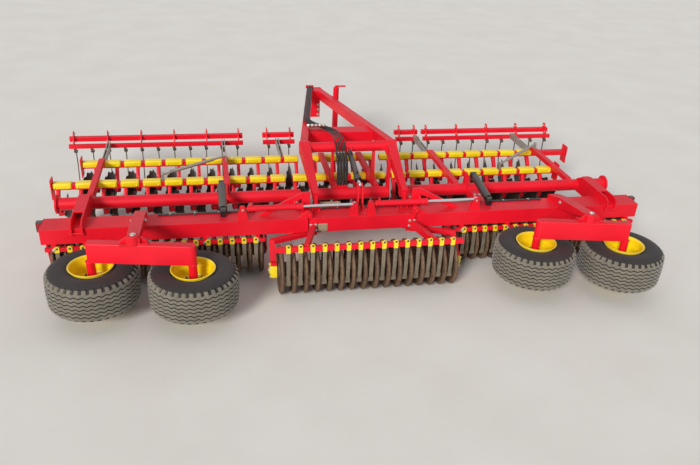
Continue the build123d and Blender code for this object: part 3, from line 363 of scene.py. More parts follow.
# Moulded lamp lens is deep red acrylic
LAMP_LENS = Lens("moulded_red_lens", "black_paint", "#b0121c", "#a5101a", "#8c1018", "#8a6a60", "#e04048",
                 drift_mm=60, patch_mm=10, patch_share=0.1, dust_share=0.2, roughness=0.12, grain_height=0.01)


# Mesh building


def axis_frame(centre: Sequence[float], axis: Sequence[float]) -> Matrix:
    """Frame at a centre with its z along an axis."""
    turn = Vector(axis).to_track_quat("Z", "Y").to_matrix().to_4x4()
    return Matrix.Translation(Vector(centre)) @ turn


def upright_frame(origin: Sequence[float], across: Sequence[float]) -> Matrix:
    """Frame of an upright plate: its x runs across, its y upwards and its z out of the plate.

    Args:
        origin: origin of the frame.
        across: level direction of its x.

    Returns:
        The frame.
    """
    at = Matrix((across, (0, 0, 1), Vector(across).cross((0, 0, 1)))).transposed().to_4x4()
    at.translation = origin
    return at


def evenly(low: float, high: float, steps: int) -> list[float]:
    """Places from one end to the other in equal steps, with both ends."""
    return [low + (high - low) * i / steps for i in range(steps + 1)]


def revolve(bm: Mesh, profile: Sequence[Pair], segments: int, place: Matrix, closed: bool = True,
            warp: Warp | None = None, pick: Pick | None = None) -> None:
    """Turn a profile about the z of a frame.

    Args:
        bm: mesh that takes the faces.
        profile: (radius, height) points.
        segments: number of steps round the axis.
        place: frame of the piece.
        closed: whether the last point joins the first.
        warp: changes (radius, height) from the row, the angle and both values.
        pick: material index from the row and the step.
    """
    rings = []
    for step in range(segments):
        angle = 2 * pi * step / segments
        ring = []
        for row, (radius, height) in enumerate(profile):
            if warp is not None:
                radius, height = warp(row, angle, radius, height)
            ring.append(bm.verts.new(place @ Vector((radius * cos(angle), radius * sin(angle), height))))
        rings.append(ring)
    bands = len(profile) if closed else len(profile) - 1
    for step in range(segments):
        here, there = rings[step], rings[(step + 1) % segments]
        for row in range(bands):
            after = (row + 1) % len(profile)
            face = bm.faces.new((here[row], there[row], there[after], here[after]))
            if pick is not None:
                face.material_index = pick(row, step)


def skin(bm: Mesh, sections: Sequence[Sequence[Vector]], material: int = 0) -> None:
    """Join closed sections of as many points into a tube and close both its ends.

    Args:
        bm: mesh that takes the faces.
        sections: loops of points, from one end to the other.
        material: material index of the faces.
    """
    loops = [[bm.verts.new(point) for point in section] for section in sections]
    count = len(loops[0])
    faces = [bm.faces.new(loops[0][::-1]), bm.faces.new(loops[-1])]
    for low, high in zip(loops, loops[1:]):
        for i in range(count):
            faces.append(bm.faces.new((low[i], low[(i + 1) % count], high[(i + 1) % count], high[i])))
    for face in faces:
        face.material_index = material


def tube(bm: Mesh, stations: Iterable[tuple[Vector, Vector, float]], across: Vector, sides: int = 12) -> None:
    """Round tube along stations that stay square to one direction.

    Args:
        bm: mesh that takes the tube.
        stations: middle, outward direction and radius at each station.
        across: direction that every section shares.
        sides: corners of each section.
    """
    turns = [2 * pi * i / sides for i in range(sides)]
    skin(bm, [[middle + (across * cos(turn) + out * sin(turn)) * wide for turn in turns]
              for middle, out, wide in stations])


def slab(bm: Mesh, outline: Sequence[Pair], place: Matrix, thickness: float, bevel: float = 1.5) -> None:
    """Plate of any outline with its edges broken.

    Args:
        bm: mesh that takes the plate.
        outline: corners in the frame's xy, anticlockwise.
        place: frame of the plate's foot.
        thickness: height along the frame's z.
        bevel: width of the broken edges.
    """
    centre = Vector((sum(x for x, _ in outline), sum(y for _, y in outline))) / len(outline)

    def section(inset: float, height: float) -> list[Vector]:
        """Points of one layer of the plate.

        Args:
            inset: how far the layer is drawn in.
            height: height of the layer.

        Returns:
            Its corners in order.
        """
        points = []
        for x, y in outline:
            inward = (centre - Vector((x, y))).normalized() * inset
            points.append(place @ Vector((x + inward.x, y + inward.y, height)))
        return points

    skin(bm, [section(bevel, 0), section(0, bevel), section(0, thickness - bevel), section(bevel, thickness)])


def arc(centre: Pair, radius: float, start: float, end: float, steps: int) -> list[Pair]:
    """Points on an arc, with its angles in degrees."""
    turns = evenly(radians(start), radians(end), steps)
    return [(centre[0] + radius * cos(turn), centre[1] + radius * sin(turn)) for turn in turns]


def hex_bolt(bm: Mesh, place: Point, axis: Point, across: float, material: int = 0) -> None:
    """Hexagon head with its chamfer, on a washer.

    Args:
        bm: mesh that takes the bolt.
        place: point on the clamped face.
        axis: direction out of that face.
        across: width across the flats.
        material: material index of the faces.
    """
    def pick(row: int, step: int) -> int:
        """Give every face the bolt's material."""
        return material

    at = axis_frame(place, axis)
    washer, rim, thick = across * 0.95, across * 0.1, across * 0.14
    revolve(bm, [(0, 0), (washer, 0), (washer, rim), (washer * 0.92, thick), (0, thick)], 16, at, pick=pick)
    corner, foot, shoulder, top = across / sqrt(3), across * 0.12, across * 0.62, across * 0.6944
    revolve(bm, [(0, foot), (corner, foot), (corner, shoulder), (corner * 0.84, top), (0, top)], 6, at,
            pick=pick)


def pin_cap(bm: Mesh, place: Point, axis: Point, radius: float, height: float = 14) -> None:
    """Round pin end with a turned edge and a grease nipple.

    Args:
        bm: mesh that takes the cap.
        place: centre of the cap's foot.
        axis: direction out of the face.
        radius: radius of the pin end.
        height: how far it stands out.
    """
    revolve(bm, [(0, 0), (radius, 0), (radius, height * 0.75), (radius * 0.85, height),
                 (radius * 0.3, height), (radius * 0.2, height * 1.6), (0, height * 1.7)], 24,
            axis_frame(place, axis))


def rounded_plate(bm: Mesh, size: Point, place: Matrix, corner: float, rim: float) -> None:
    """Plate with rounded corners and a turned edge.

    Args:
        bm: mesh that takes the plate.
        size: width, depth and thickness.
        place: frame at the middle of the plate's foot.
        corner: radius of the corners in plan.
        rim: radius of the upper edge.
    """
    def section(inset: float, height: float) -> list[Vector]:
        """Points of one layer of the plate.

        Args:
            inset: how far the layer is drawn in.
            height: height of the layer.

        Returns:
            Its corners in order.
        """
        points = []
        for quarter in range(4):
            cx = (size[0] / 2 - corner) * (1 if quarter in (0, 3) else -1)
            cy = (size[1] / 2 - corner) * (1 if quarter in (0, 1) else -1)
            for step in range(5):
                angle = radians(90 * quarter + 22.5 * step)
                reach = max(corner - inset, 0.5)
                points.append(place @ Vector((cx + reach * cos(angle), cy + reach * sin(angle), height)))
        return points

    skin(bm, [section(0, 0), section(0, size[2] - rim), section(rim * 0.3, size[2] - rim * 0.3),
              section(rim, size[2])])


def place_piece(bm: Mesh, name: str, body: str, finishes: Sequence[Finish], replaced: Iterable[str] = (),
                sharp: float = 35) -> None:
    """Turn a mesh in millimetres into a piece on a body.

    Args:
        bm: finished mesh, freed here.
        name: name of the piece.
        body: body that carries it.
        finishes: finish of each material index.
        replaced: CAD nodes that the piece stands for.
        sharp: angle in degrees above which an edge stays sharp.
    """
    bmesh.ops.remove_doubles(bm, verts=bm.verts, dist=0.02)
    bmesh.ops.recalc_face_normals(bm, faces=bm.faces)
    bmesh.ops.scale(bm, vec=(MM, MM, MM), verts=bm.verts)
    mesh = bpy.data.meshes.new(name)
    bm.to_mesh(mesh)
    bm.free()
    mesh.polygons.foreach_set("use_smooth", [True] * len(mesh.polygons))
    mesh.set_sharp_from_angle(angle=radians(sharp))
    for finish in finishes:
        mesh.materials.append(finish.build())
    piece = bpy.data.objects.new(name, mesh)
    bpy.context.scene.collection.objects.link(piece)
    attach(piece, body)
    if replaced:
        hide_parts(*replaced)
    LOG.info("%s: %d faces on %s", name, len(mesh.polygons), body)


# Sub-assemblies


@dataclass
class FieldTyre:
    """Flotation tyre laid flat: zigzag ribs, shoulder lugs and a plain sidewall."""

    centre: Pair
    name: str
    low: float = 170
    width: float = 400
    radius: float = 437
    bead: float = 201
    pitches: int = 38
    columns: int = 8
    ribs: int = 7
    tread_half: float = 142
    groove: float = 13
    depth: float = 13
    slope: float = 2.5
    swing: float = 9
    edge_swing: float = 0.4
    lug_share: float = 0.6
    gap_cut: Pair = (14, 9)
    crown_drop: float = 7

    def gap(self, angle: float) -> bool:
        """Whether an angle falls between two shoulder lugs."""
        return (angle * self.pitches / (2 * pi)) % 1 >= self.lug_share

    def tread_rows(self) -> list[tuple[float, float, int]]:
        """Rows over the tread from low to high.

        Returns:
            (radius, height, kind) of each row; kind 1 is a rib's edge, 2 a groove's floor.
        """
        rib = (2 * self.tread_half - (self.ribs - 1) * self.groove) / self.ribs
        rows, at = [], -self.tread_half
        for i in range(self.ribs):
            for height in (at, at + rib):
                rows.append((self.crown(height), height, 1))
            if i < self.ribs - 1:
                for height in (at + rib + self.slope, at + rib + self.groove - self.slope):
                    rows.append((self.crown(height) - self.depth, height, 2))
            at += rib + self.groove
        return rows

    def crown(self, height: float) -> float:
        """Tread radius at a height from the middle."""
        return self.radius - self.crown_drop * (height / self.tread_half) ** 2

    def build(self) -> None:
        """Build the tyre and let it stand for its CAD solid."""
        half = self.width / 2
        # Sidewall from the bead to the shoulder; rows of kind 3 are cut between the shoulder lugs
        wall = [(self.bead, half - 22, 0), (216, half - 14, 0), (226, half - 10, 0), (232, half - 14, 0),
                (246, half - 6, 0), (285, half - 1, 0), (330, half - 1, 0), (368, half - 8, 0),
                (390, half - 18, 0), (404, half - 27, 3), (416, half - 38, 3), (425, half - 49, 3)]
        rows = [(r, -h, k) for r, h, k in wall] + self.tread_rows() + wall[::-1] + [(self.bead, 0, 0)]

        def warp(row: int, angle: float, radius: float, height: float) -> Pair:
            """Bend the ribs into a zigzag and cut the gaps between the shoulder lugs.

            Args:
                row: row of the profile.
                angle: place round the tyre.
                radius: plain radius.
                height: plain height.

            Returns:
                Radius and height of the moulded tyre.
            """
            phase = (angle * self.pitches / (2 * pi)) % 1
            kind = rows[row][2]
            if kind in (1, 2):
                damping = 1 if abs(height) < self.tread_half - 1 else self.edge_swing
                height += self.swing * (abs(2 * phase - 1) * 2 - 1) * damping
            elif kind == 3 and self.gap(angle):
                radius -= self.gap_cut[0]
                height -= self.gap_cut[1] if height > 0 else -self.gap_cut[1]
            return radius, height

        def pick(row: int, step: int) -> int:
            """Tell tread, groove and sidewall apart.

            Args:
                row: row of the profile.
                step: step round the tyre.

            Returns:
                Index of the finish.
            """
            kinds = {rows[row][2], rows[(row + 1) % len(rows)][2]}
            angle = 2 * pi * (step + 0.5) / (self.pitches * self.columns)
            # Groove floors and walls and the gaps between shoulder lugs take the groove finish: dark rubber
            # with painted shade
            if 2 in kinds or (3 in kinds and self.gap(angle)):
                return 1
            return 0 if kinds <= {1, 3} else 2

        bm = bmesh.new()
        revolve(bm, [(r, h) for r, h, _ in rows], self.pitches * self.columns,
                axis_frame((*self.centre, self.low + half), (0, 0, 1)), warp=warp, pick=pick)
        place_piece(bm, f"field_tyre_{self.name}", f"wheel_{self.name}", (TREAD, SHADED_GROOVE, SIDEWALL),
                    (f"tyre_{self.name}",))


@dataclass
class WheelRim:
    """Pressed rim: rolled lips, stepped well and a bolted disc with its hub."""

    centre: Pair
    name: str
    low: float = 170
    high: float = 570
    lip: float = 217
    disc_height: float = 388
    studs: int = 8
    stud_circle: float = 103
    stud_seat: float = 401
    hub_top: float = 446
    bore: float = 33

    def build(self) -> None:
        """Build rim, studs and hub and let the rim stand for its CAD solid."""
        body = f"wheel_{self.name}"
        at = axis_frame((*self.centre, 0), (0, 0, 1))
        bm = bmesh.new()
        upper = [(200, self.high - 4), (self.lip - 2, self.high + 1), (self.lip, self.high + 5),
                 (self.lip - 3, self.high + 8), (204, self.high + 7), (195, self.high - 1),
                 (191, self.high - 14), (189, self.high - 52), (181, self.high - 74), (175, self.high - 92)]
        dish = [(174, 428), (170, 408), (160, 397), (140, 396), (126, 402), (112, 402), (96, 398), (76, 396)]
        under = [(r, 2 * self.disc_height - 8 - h) for r, h in reversed(dish)]
        lower = [(r, self.low + self.high - h) for r, h in reversed(upper[1:])]
        outside = [(200, self.low + 4), (192, self.low + 60), (181, 300), (181, 440), (192, self.high - 60)]
        revolve(bm, upper + dish + under + lower + outside, 64, at)
        place_piece(bm, f"pressed_rim_{self.name}", body, (YELLOW,), (f"rim_{self.name}",))

        bm = bmesh.new()
        top = self.hub_top
        revolve(bm, [(self.bore, 344), (72, 344), (76, 350), (76, 408), (70, 414), (66, top - 12),
                     (60, top - 2), (self.bore, top - 2)], 36, at)
        for i in range(self.studs):
            angle = 2 * pi * i / self.studs
            x = self.centre[0] + self.stud_circle * cos(angle)
            y = self.centre[1] + self.stud_circle * sin(angle)
            hex_bolt(bm, (x, y, self.stud_seat), (0, 0, 1), 27)
            stud = [(0, -3), (8, -3), (8, 33), (6, 37), (0, 37)]
            revolve(bm, stud, 10, axis_frame((x, y, self.stud_seat), (0, 0, 1)))
        place_piece(bm, f"wheel_hub_{self.name}", body, (BLACK,))


@dataclass
class ToolSection:
    """One section's notched discs, hub caps and clamp pads."""

    section: str
    radius: float = 225
    flat: float = 60
    dish: float = 50
    steel: float = 6
    notches: int = 12
    notch_depth: float = 21
    columns: int = 8
    pad_half: float = 102.5
    row_top: float = 670
    row_foot: float = 607.7
    pad_skirt: float = 45
    arm_side: Pair = (34, 74)
    notch_span: float = 0.3
    hub_bolts: int = 5
    bolt_circle: float = 38

    @property
    def body(self) -> str:
        """Body that carries the section."""
        return "drawbar" if self.section == "centre" else f"wing_{self.section}"

    @property
    def prefix(self) -> str:
        """Beginning of the section's node names, and their ending."""
        return "centre_{}" if self.section == "centre" else "wing_{}_" + self.section

    def hubs(self) -> list[tuple[float, float, int]]:
        """(x, row y, throw) of each disc place."""
        return [(first + DISC_PITCH * i, ROW_Y[row], THROW[row]) for section, row, first, count in ROWS
                if section == self.section for i in range(count)]

    @staticmethod
    def hub_axis(x: float, y: float, throw: int) -> tuple[Vector, Vector]:
        """Middle of a disc and the axis that it turns about, towards its hollow side."""
        return Vector((x, y - DISC_TRAIL, DISC_Z)), Vector((throw * cos(TOE), sin(TOE), 0))

    def discs(self) -> None:
        """Build the notched conical discs."""
        rise = self.dish / (self.radius - self.flat)
        mid = (self.radius + self.flat) / 2

        def cone(radius: float, lift: float) -> Pair:
            """Point on the disc's cone, lifted off its face."""
            return radius, lift + max(0.0, (radius - self.flat) * (self.dish + 6) / (self.radius - self.flat))

        profile = [(0, 0), (self.flat, 0), cone(mid, 0), cone(self.radius - 20, 0), cone(self.radius, 0),
                   (self.radius - self.steel, self.dish + self.steel), cone(self.radius - 20, 3),
                   cone(mid, 5), (self.flat, self.steel), (0, self.steel)]

        def warp(row: int, angle: float, radius: float, height: float) -> Pair:
            """Cut the round notches into the rim.

            Args:
                row: row of the profile.
                angle: place round the disc.
                radius: plain radius.
                height: plain height.

            Returns:
                Radius and height of the notched disc.
            """
            if row not in (3, 4, 5, 6):
                return radius, height
            phase = ((angle * self.notches / (2 * pi)) % 1 - 0.5) / self.notch_span
            cut = self.notch_depth * sqrt(max(0.0, 1 - phase * phase)) * (1 if row in (4, 5) else 0.55)
            return radius - cut, height - cut * rise

        bm = bmesh.new()
        for place in self.hubs():
            revolve(bm, profile, self.notches * self.columns, axis_frame(*self.hub_axis(*place)),
                    closed=False, warp=warp)
        node = self.prefix.format("discs")
        place_piece(bm, f"notched_{node}", self.body, (DISC,), (node,))

    def hub_caps(self) -> None:
        """Build the bearing caps behind the discs and the bolts in their hollow side."""
        bm, up = bmesh.new(), Vector((0, 0, 1))
        for place in self.hubs():
            hub, axis = self.hub_axis(*place)
            back = axis_frame(hub, -axis)
            revolve(bm, [(0, 20), (50, 20), (52, 16), (52, 4), (49, 0.4), (0, 0.4)], 24, back)
            revolve(bm, [(0, 64), (26, 64), (28, 70), (22, 78), (0, 80)], 16, back)
            across = up.cross(axis)
            for i in range(self.hub_bolts):
                turn = 2 * pi * i / self.hub_bolts
                spot = hub + axis * self.steel + (across * cos(turn) + up * sin(turn)) * self.bolt_circle
                hex_bolt(bm, tuple(spot), tuple(axis), 15)
        place_piece(bm, f"disc_hubs_{self.section}", self.body, (BLACK,))

    def pad_spans(self) -> list[tuple[float, float, float]]:
        """Places of the pads, cut short at a row box's end and at the frame arms.

        Returns:
            Low x, high x and row y of each pad.
        """
        arms = [(x - FRAME_ARM_HALF, x + FRAME_ARM_HALF) for x in FRAME_ARMS[self.section]]
        spans = []
        for x, y, _ in self.hubs():
            first, last = next((low, high) for name, row, low, high in ROW_BOXES
                               if name == self.section and ROW_Y[row] == y)
            low = max([x - self.pad_half, first] + [high for _, high in arms if high < x])
            high = min([x + self.pad_half, last] + [edge for edge, _ in arms if edge > x])
            spans.append((low, high, y))
        return spans

    def pads(self) -> None:
        """Build the saddle-shaped clamp pads, crowned and rounded towards their ends."""
        inner, skirt, top, thick = 40.4, 52.0, self.row_top, 18
        foot = top - self.pad_skirt

        def section(x: float, y: float, shrink: float, drop: float) -> list[Vector]:
            """Outline of the pad across its row box.

            Args:
                x: place along the row.
                y: middle of the row.
                shrink: how much narrower it is than the full pad.
                drop: how much lower its crown is.

            Returns:
                Its points in order.
            """
            half = skirt - shrink
            crest = top + thick - drop
            bend = arc((half - 16, crest - 16), 16, 0, 90, 4)
            outer = [(half - 2, foot), (half, foot + 3)] + bend + [(0, crest + 1)]
            outer += [(-v, z) for v, z in reversed(bend)] + [(-half, foot + 3), (2 - half, foot)]
            hollow = [(-inner, foot), (-inner, top + 0.4), (inner, top + 0.4), (inner, foot)]
            return [Vector((x, y + v, z)) for v, z in outer + hollow]

        ends = ((0, 7, 8), (2, 4, 4.5), (7, 1.4, 1.6), (15, 0, 0))
        bm = bmesh.new()
        for low, high, y in self.pad_spans():
            skin(bm, [section(low + reach, y, shrink, drop) for reach, shrink, drop in ends]
                 + [section(high - reach, y, shrink, drop) for reach, shrink, drop in reversed(ends)])
            for x in (low + 24, high - 24):
                for side in (-1, 1):
                    hex_bolt(bm, (x, y + side * (skirt - 0.5), foot + 14), (0, side, 0), 13)
        node = self.prefix.format("pads")
        place_piece(bm, f"clamp_{node}", self.body, (YELLOW,), (node,), sharp=50)

    def arms(self) -> None:
        """Build the bowed spring arms between the row boxes and the disc hubs."""
        bm, under = bmesh.new(), self.row_foot
        # Rear edge down the bow, then the front edge back up
        rear = [(-45, under), (-70, under - 38), (-98, under - 78), (-116, under - 112), (-124, under - 150),
                (-123, under - 188), (-112, under - 232), (-98, DISC_Z + 6), (-84, DISC_Z - 34)]
        front = [(-20, DISC_Z - 20), (-50, DISC_Z + 22), (-70, DISC_Z + 56), (-79, under - 186),
                 (-80, under - 150), (-72, under - 122), (-44, under - 86), (0, under - 40), (40, under)]
        near, far = self.arm_side
        for x, y, throw in self.hubs():
            low = min(x - throw * near, x - throw * far)
            slab(bm, rear + front, upright_frame((low, y, 0), (0, 1, 0)), far - near, bevel=4)
            hub, axis = self.hub_axis(x, y, throw)
            revolve(bm, [(0, 0.3), (34, 0.3), (36, 4), (36, 62), (34, 66), (0, 66)], 24,
                    axis_frame(hub, -axis))
        node = self.prefix.format("arms")
        place_piece(bm, f"spring_{node}", self.body, (RED,), (node,), sharp=40)

    def build(self) -> None:
        """Build everything the section carries."""
        self.discs()
        self.hub_caps()
        self.arms()
        self.pads()


@dataclass
class RingPacker:
    """Packer roller: V-crested rings with thin webs on a core tube."""

    node: str
    y: float
    first: float
    count: int
    core: Pair
    stub: float
    pitch: float = RING_PITCH
    radius: float = 265

    def build(self) -> None:
        """Build the rings, core and stubs and let them stand for the CAD roller."""
        at_x = axis_frame((0, self.y, self.radius), (1, 0, 0))
        bm = bmesh.new()
        crest = self.radius
        profile = [(crest - 2, -9), (crest, -5), (crest, 5), (crest - 2, 9), (242, 23), (238, 23), (236, 18),
                   (226, 8), (120, 6), (92, 8), (80, 16)]
        mirrored = [(r, -h) for r, h in reversed(profile[4:])]
        for i in range(self.count):
            x = self.first + self.pitch * i
            revolve(bm, profile + mirrored, 72, Matrix.Translation((x, 0, 0)) @ at_x)
        # Half of the core from its end to its middle, then the same mirrored
        low, high = self.core
        half = [(0, -self.stub), (23, -self.stub), (25, 3 - self.stub), (25, -2), (60, 0), (78, 0), (80, 4)]
        core = [(r, low + h) for r, h in half] + [(r, high - h) for r, h in reversed(half)]
        revolve(bm, core, 40, at_x, closed=False)
        place_piece(bm, f"ring_{self.node}", self.node, (RING,), (self.node,))


@dataclass
class ScraperRow:
    """Scraper clamps on their bar, with spring blades that hang between the packer rings."""

    node: str
    body: str
    places: Sequence[float]
    bar: tuple[float, float, float]
    wide: float
    eye: float
    low: float = 180
    blade: float = 40
    steel: float = 6

    def build(self) -> None:
        """Build clamps, blades and bolts as one piece for the CAD row."""
        bm = bmesh.new()
        for x in self.places:
            self.clamp(bm, x)
            self.spring(bm, x)
        place_piece(bm, f"spring_{self.node}", self.body, (YELLOW, BLADE, STEEL), (self.node,))

    def clamp(self, bm: Mesh, x: float) -> None:
        """Build one clamp plate with its tongue over the bar and its bolt.

        Args:
            bm: mesh that takes the clamp.
            x: middle of the clamp.
        """
        y, z, half = self.bar
        wide, rear = self.wide / 2, y - half - 0.6
        foot, crown = z - half - 8, z + half + self.eye - wide
        upright = upright_frame((x, rear, 0), (1, 0, 0))
        slab(bm, [(-wide, foot), (wide, foot)] + arc((0, crown), wide, 0, 180, 10), upright, 9)
        level = Matrix.Translation((x, y, z + half + 0.6))
        slab(bm, [(-wide, -half - 9), (wide, -half - 9), (wide, half - 8), (-wide, half - 8)], level, 9)
        hex_bolt(bm, (x, rear - 9, crown + 2), (0, -1, 0), 14, 2)

    def spring(self, bm: Mesh, x: float) -> None:
        """Build one blade: a bowed spring strip with a wider worn tip.

        Args:
            bm: mesh that takes the blade.
            x: middle of the blade.
        """
        y, z, half = self.bar
        rear, top = y - half - 3, z - half - 2
        sections, thin = [], self.steel / 2
        # Columns: share of the drop, bow and added half width
        for share, bow, widen in ((0, 0, 0), (0.12, 3, 0), (0.3, 8, 0), (0.5, 12, 0), (0.7, 11, 0),
                                  (0.84, 8, 0), (0.87, 7, 7), (0.97, 3, 9), (1, 1, 6)):
            wide, level = self.blade / 2 + widen, top - (top - self.low) * share
            corners = ((-wide, -thin), (wide, -thin), (wide, thin), (-wide, thin))
            sections.append([Vector((x + dx, rear - bow + dy, level)) for dx, dy in corners])
        skin(bm, sections, 1)


@dataclass
class PackerBearing:
    """Yellow bearing housing at one end of the centre packer, with its cap and bolts."""

    side: Side
    inner: float = 976
    outer: float = 1046
    y: float = CENTRE_PACKER_Y
    low: float = 190
    high: float = 335
    half: float = 60
    shaft: float = 265

    def build(self) -> None:
        """Build the housing between the packer's stub and its arm."""
        s = self.side.value
        at = upright_frame((s * self.inner, self.y, (self.low + self.high) / 2), (0, s, 0))
        bm = bmesh.new()
        rounded_plate(bm, (2 * self.half, self.high - self.low, self.outer - self.inner), at, 22, 6)
        cap = axis_frame((s * self.outer, self.y, self.shaft), (s, 0, 0))
        revolve(bm, [(0, -1), (46, -1), (46, 6), (42, 10), (30, 12), (18, 12), (14, 15), (0, 15)], 32, cap)
        for dy in (-42, 42):
            for z in (self.low + 22, self.high - 22):
                hex_bolt(bm, (s * self.outer, self.y + dy, z), (s, 0, 0), 17, 1)
        hex_bolt(bm, (s * (self.outer + 12), self.y, self.shaft), (s, 0, 0), 15, 1)
        place_piece(bm, f"packer_bearing_{self.side.word}", "beam", (YELLOW, PLATED))


@dataclass
class WalkingBogie:
    """Bogie beam of folded plate with its inner end tube, spindles and the pivot's gussets."""

    side: Side
    overhang: float = 12
    low: float = 625
    high: float = 832
    wide: float = 92
    tube: float = 42
    pivot_top: float = 915

    def build(self) -> None:
        """Build the beam for its CAD solid, then the gussets on the arm above it."""
        s, body = self.side.value, f"wing_{self.side.word}"
        turned = Matrix.Translation((s * BOGIE_X, BOGIE_Y, 0)) @ Matrix.Rotation(BOGIE_TURN, 4, "Z")
        bm = bmesh.new()
        rounded_plate(bm, (2 * BOGIE_HALF + self.overhang, self.wide, self.high - self.low),
                      turned @ Matrix.Translation((s * self.overhang / 2, 0, self.low)), 7, 7)
        for end in (-1, 1):
            top = self.high - 3 if end == -s else self.low + 4
            revolve(bm, [(0, 424), (28, 424), (31, 428), (31, 452), (self.tube - 4, 456), (self.tube, 460),
                         (self.tube, self.low - 9), (self.tube + 7, self.low - 4), (self.tube, self.low + 2),
                         (self.tube, top - 3), (self.tube - 3, top), (0, top)], 32,
                    turned @ Matrix.Translation((end * BOGIE_HALF, 0, 0)))
        # Weld seams along the beam's upper corners
        for side in (-1, 1):
            rings = []
            for x in (14 - BOGIE_HALF, BOGIE_HALF - 14):
                place = turned @ Matrix.Translation((x, side * (self.wide / 2 - 1), self.high - 12))
                rings.append([place @ Vector((0, 3.5 * cos(pi * i / 4), 5 * sin(pi * i / 4)))
                              for i in range(8)])
            skin(bm, rings)
        place_piece(bm, f"folded_bogie_{self.side.word}", body, (RED,), (f"bogie_{self.side.word}",))

        bm, x = bmesh.new(), s * PIVOT_X
        for way in (-1, 1):
            slab(bm, [(58, 0), (126, 0), (126, 10), (76, 56), (58, 60)],
                 upright_frame((x, BOGIE_Y + 8 * way, self.high + 16), (way, 0, 0)), 16)
        revolve(bm, [(0, 0), (54, 0), (54, 5), (50, 8), (0, 8)], 32,
                Matrix.Translation((x, BOGIE_Y, self.pivot_top)))
        place_piece(bm, f"pivot_gussets_{self.side.word}", body, (RED,))
        bm = bmesh.new()
        pin_cap(bm, (x, BOGIE_Y, self.pivot_top + 8), (0, 0, 1), 29, 13)
        place_piece(bm, f"pivot_cap_{self.side.word}", body, (PLATED,))


@dataclass
class Fasteners:
    """Bolts and pin ends of one body, gathered in one piece."""

    body: str
    bolts: list[tuple[Point, Point, float]]
    pins: list[tuple[Point, Point, float]]

    def build(self) -> None:
        """Build the bolts and pins as one piece."""
        bm = bmesh.new()
        for place, axis, across in self.bolts:
            hex_bolt(bm, place, axis, across)
        for place, axis, radius in self.pins:
            pin_cap(bm, place, axis, radius)
        place_piece(bm, f"fasteners_{self.body}", self.body, (PLATED,))


@dataclass
class CylinderFittings:
    """Gland ring, ports and hose unions on a hydraulic barrel."""

    body: str
    base: Point
    toward: Point
    length: float
    finish: Finish = RED
    barrel: float = 33

    def build(self) -> None:
        """Build the fittings round the barrel."""
        base, gland, wide = Vector(self.base), self.length, self.barrel
        along = (Vector(self.toward) - base).normalized()
        bm = bmesh.new()
        at = axis_frame(base, along)
        revolve(bm, [(20, gland - 12), (wide + 7, gland - 12), (wide + 8, gland - 9), (wide + 8, gland + 1),
                     (wide + 4, gland + 4), (22, gland + 4), (20, gland + 2)], 32, at)
        revolve(bm, [(wide - 1, 52), (wide + 3, 55), (wide + 3, 60), (wide - 1, 66)], 32, at)
        up = Vector((0, 0, 1))
        up = (up - along * up.dot(along)).normalized()
        for reach in (92, gland - 88):
            port = axis_frame(base + along * reach + up * (wide - 2), up)
            revolve(bm, [(0, 0), (15, 0), (15, 14), (12, 16), (12, 24), (0, 24)], 6, port)
            revolve(bm, [(0, 22), (9, 22), (9, 34), (7, 38), (0, 38)], 14, port)
        place_piece(bm, f"cylinder_fittings_{self.body}", self.body, (self.finish,))


@dataclass
class BeamEndLamp:
    """Lens of the lamp at a beam's end."""

    side: Side
    x: float = 3354
    y: float = -1240
    z: float = 655

    def build(self) -> None:
        """Build the lens on the housing's rear face."""
        at = Matrix.Translation((self.side.value * self.x, self.y, self.z)) @ Matrix.Rotation(pi / 2, 4, "X")
        bm = bmesh.new()
        rounded_plate(bm, (44, 96, 6), at, 10, 3)
        place_piece(bm, f"lamp_lens_{self.side.word}", f"wing_{self.side.word}", (LAMP_LENS,))


@dataclass
class SpringCoils:
    """Coils at the top of the levelling board's tines."""

    side: Side
    y: float = 1207
    z: float = 548
    wire: float = 6
    coil: float = 24
    turns: int = 3
    lead: float = 2.2

    def build(self) -> None:
        """Build one coil at each tine."""
        bm = bmesh.new()
        for low, high in BOARD_BARS[self.side.word]:
            low, high = low + TINE_MARGIN, high - TINE_MARGIN
            for x in evenly(low, high, max(1, round((high - low) / TINE_PITCH))):
                self.wind(bm, x)
        place_piece(bm, f"tine_coils_{self.side.word}", f"wing_{self.side.word}", (STEEL,), sharp=80)

    def wind(self, bm: Mesh, x: float) -> None:
        """Wind one coil about a level axis at the tine.

        Args:
            bm: mesh that takes the coil.
            x: middle of the coil.
        """
        steps, stations, length = self.turns * 16, [], self.turns * self.lead * self.wire
        for step in range(steps + 1):
            turn = 2 * pi * step / 16
            out = Vector((0, cos(turn), sin(turn)))
            place = Vector((x + (step / steps - 0.5) * length, self.y - self.coil, self.z))
            stations.append((place + out * self.coil, out, self.wire))
        tube(bm, stations, Vector((1, 0, 0)), 8)


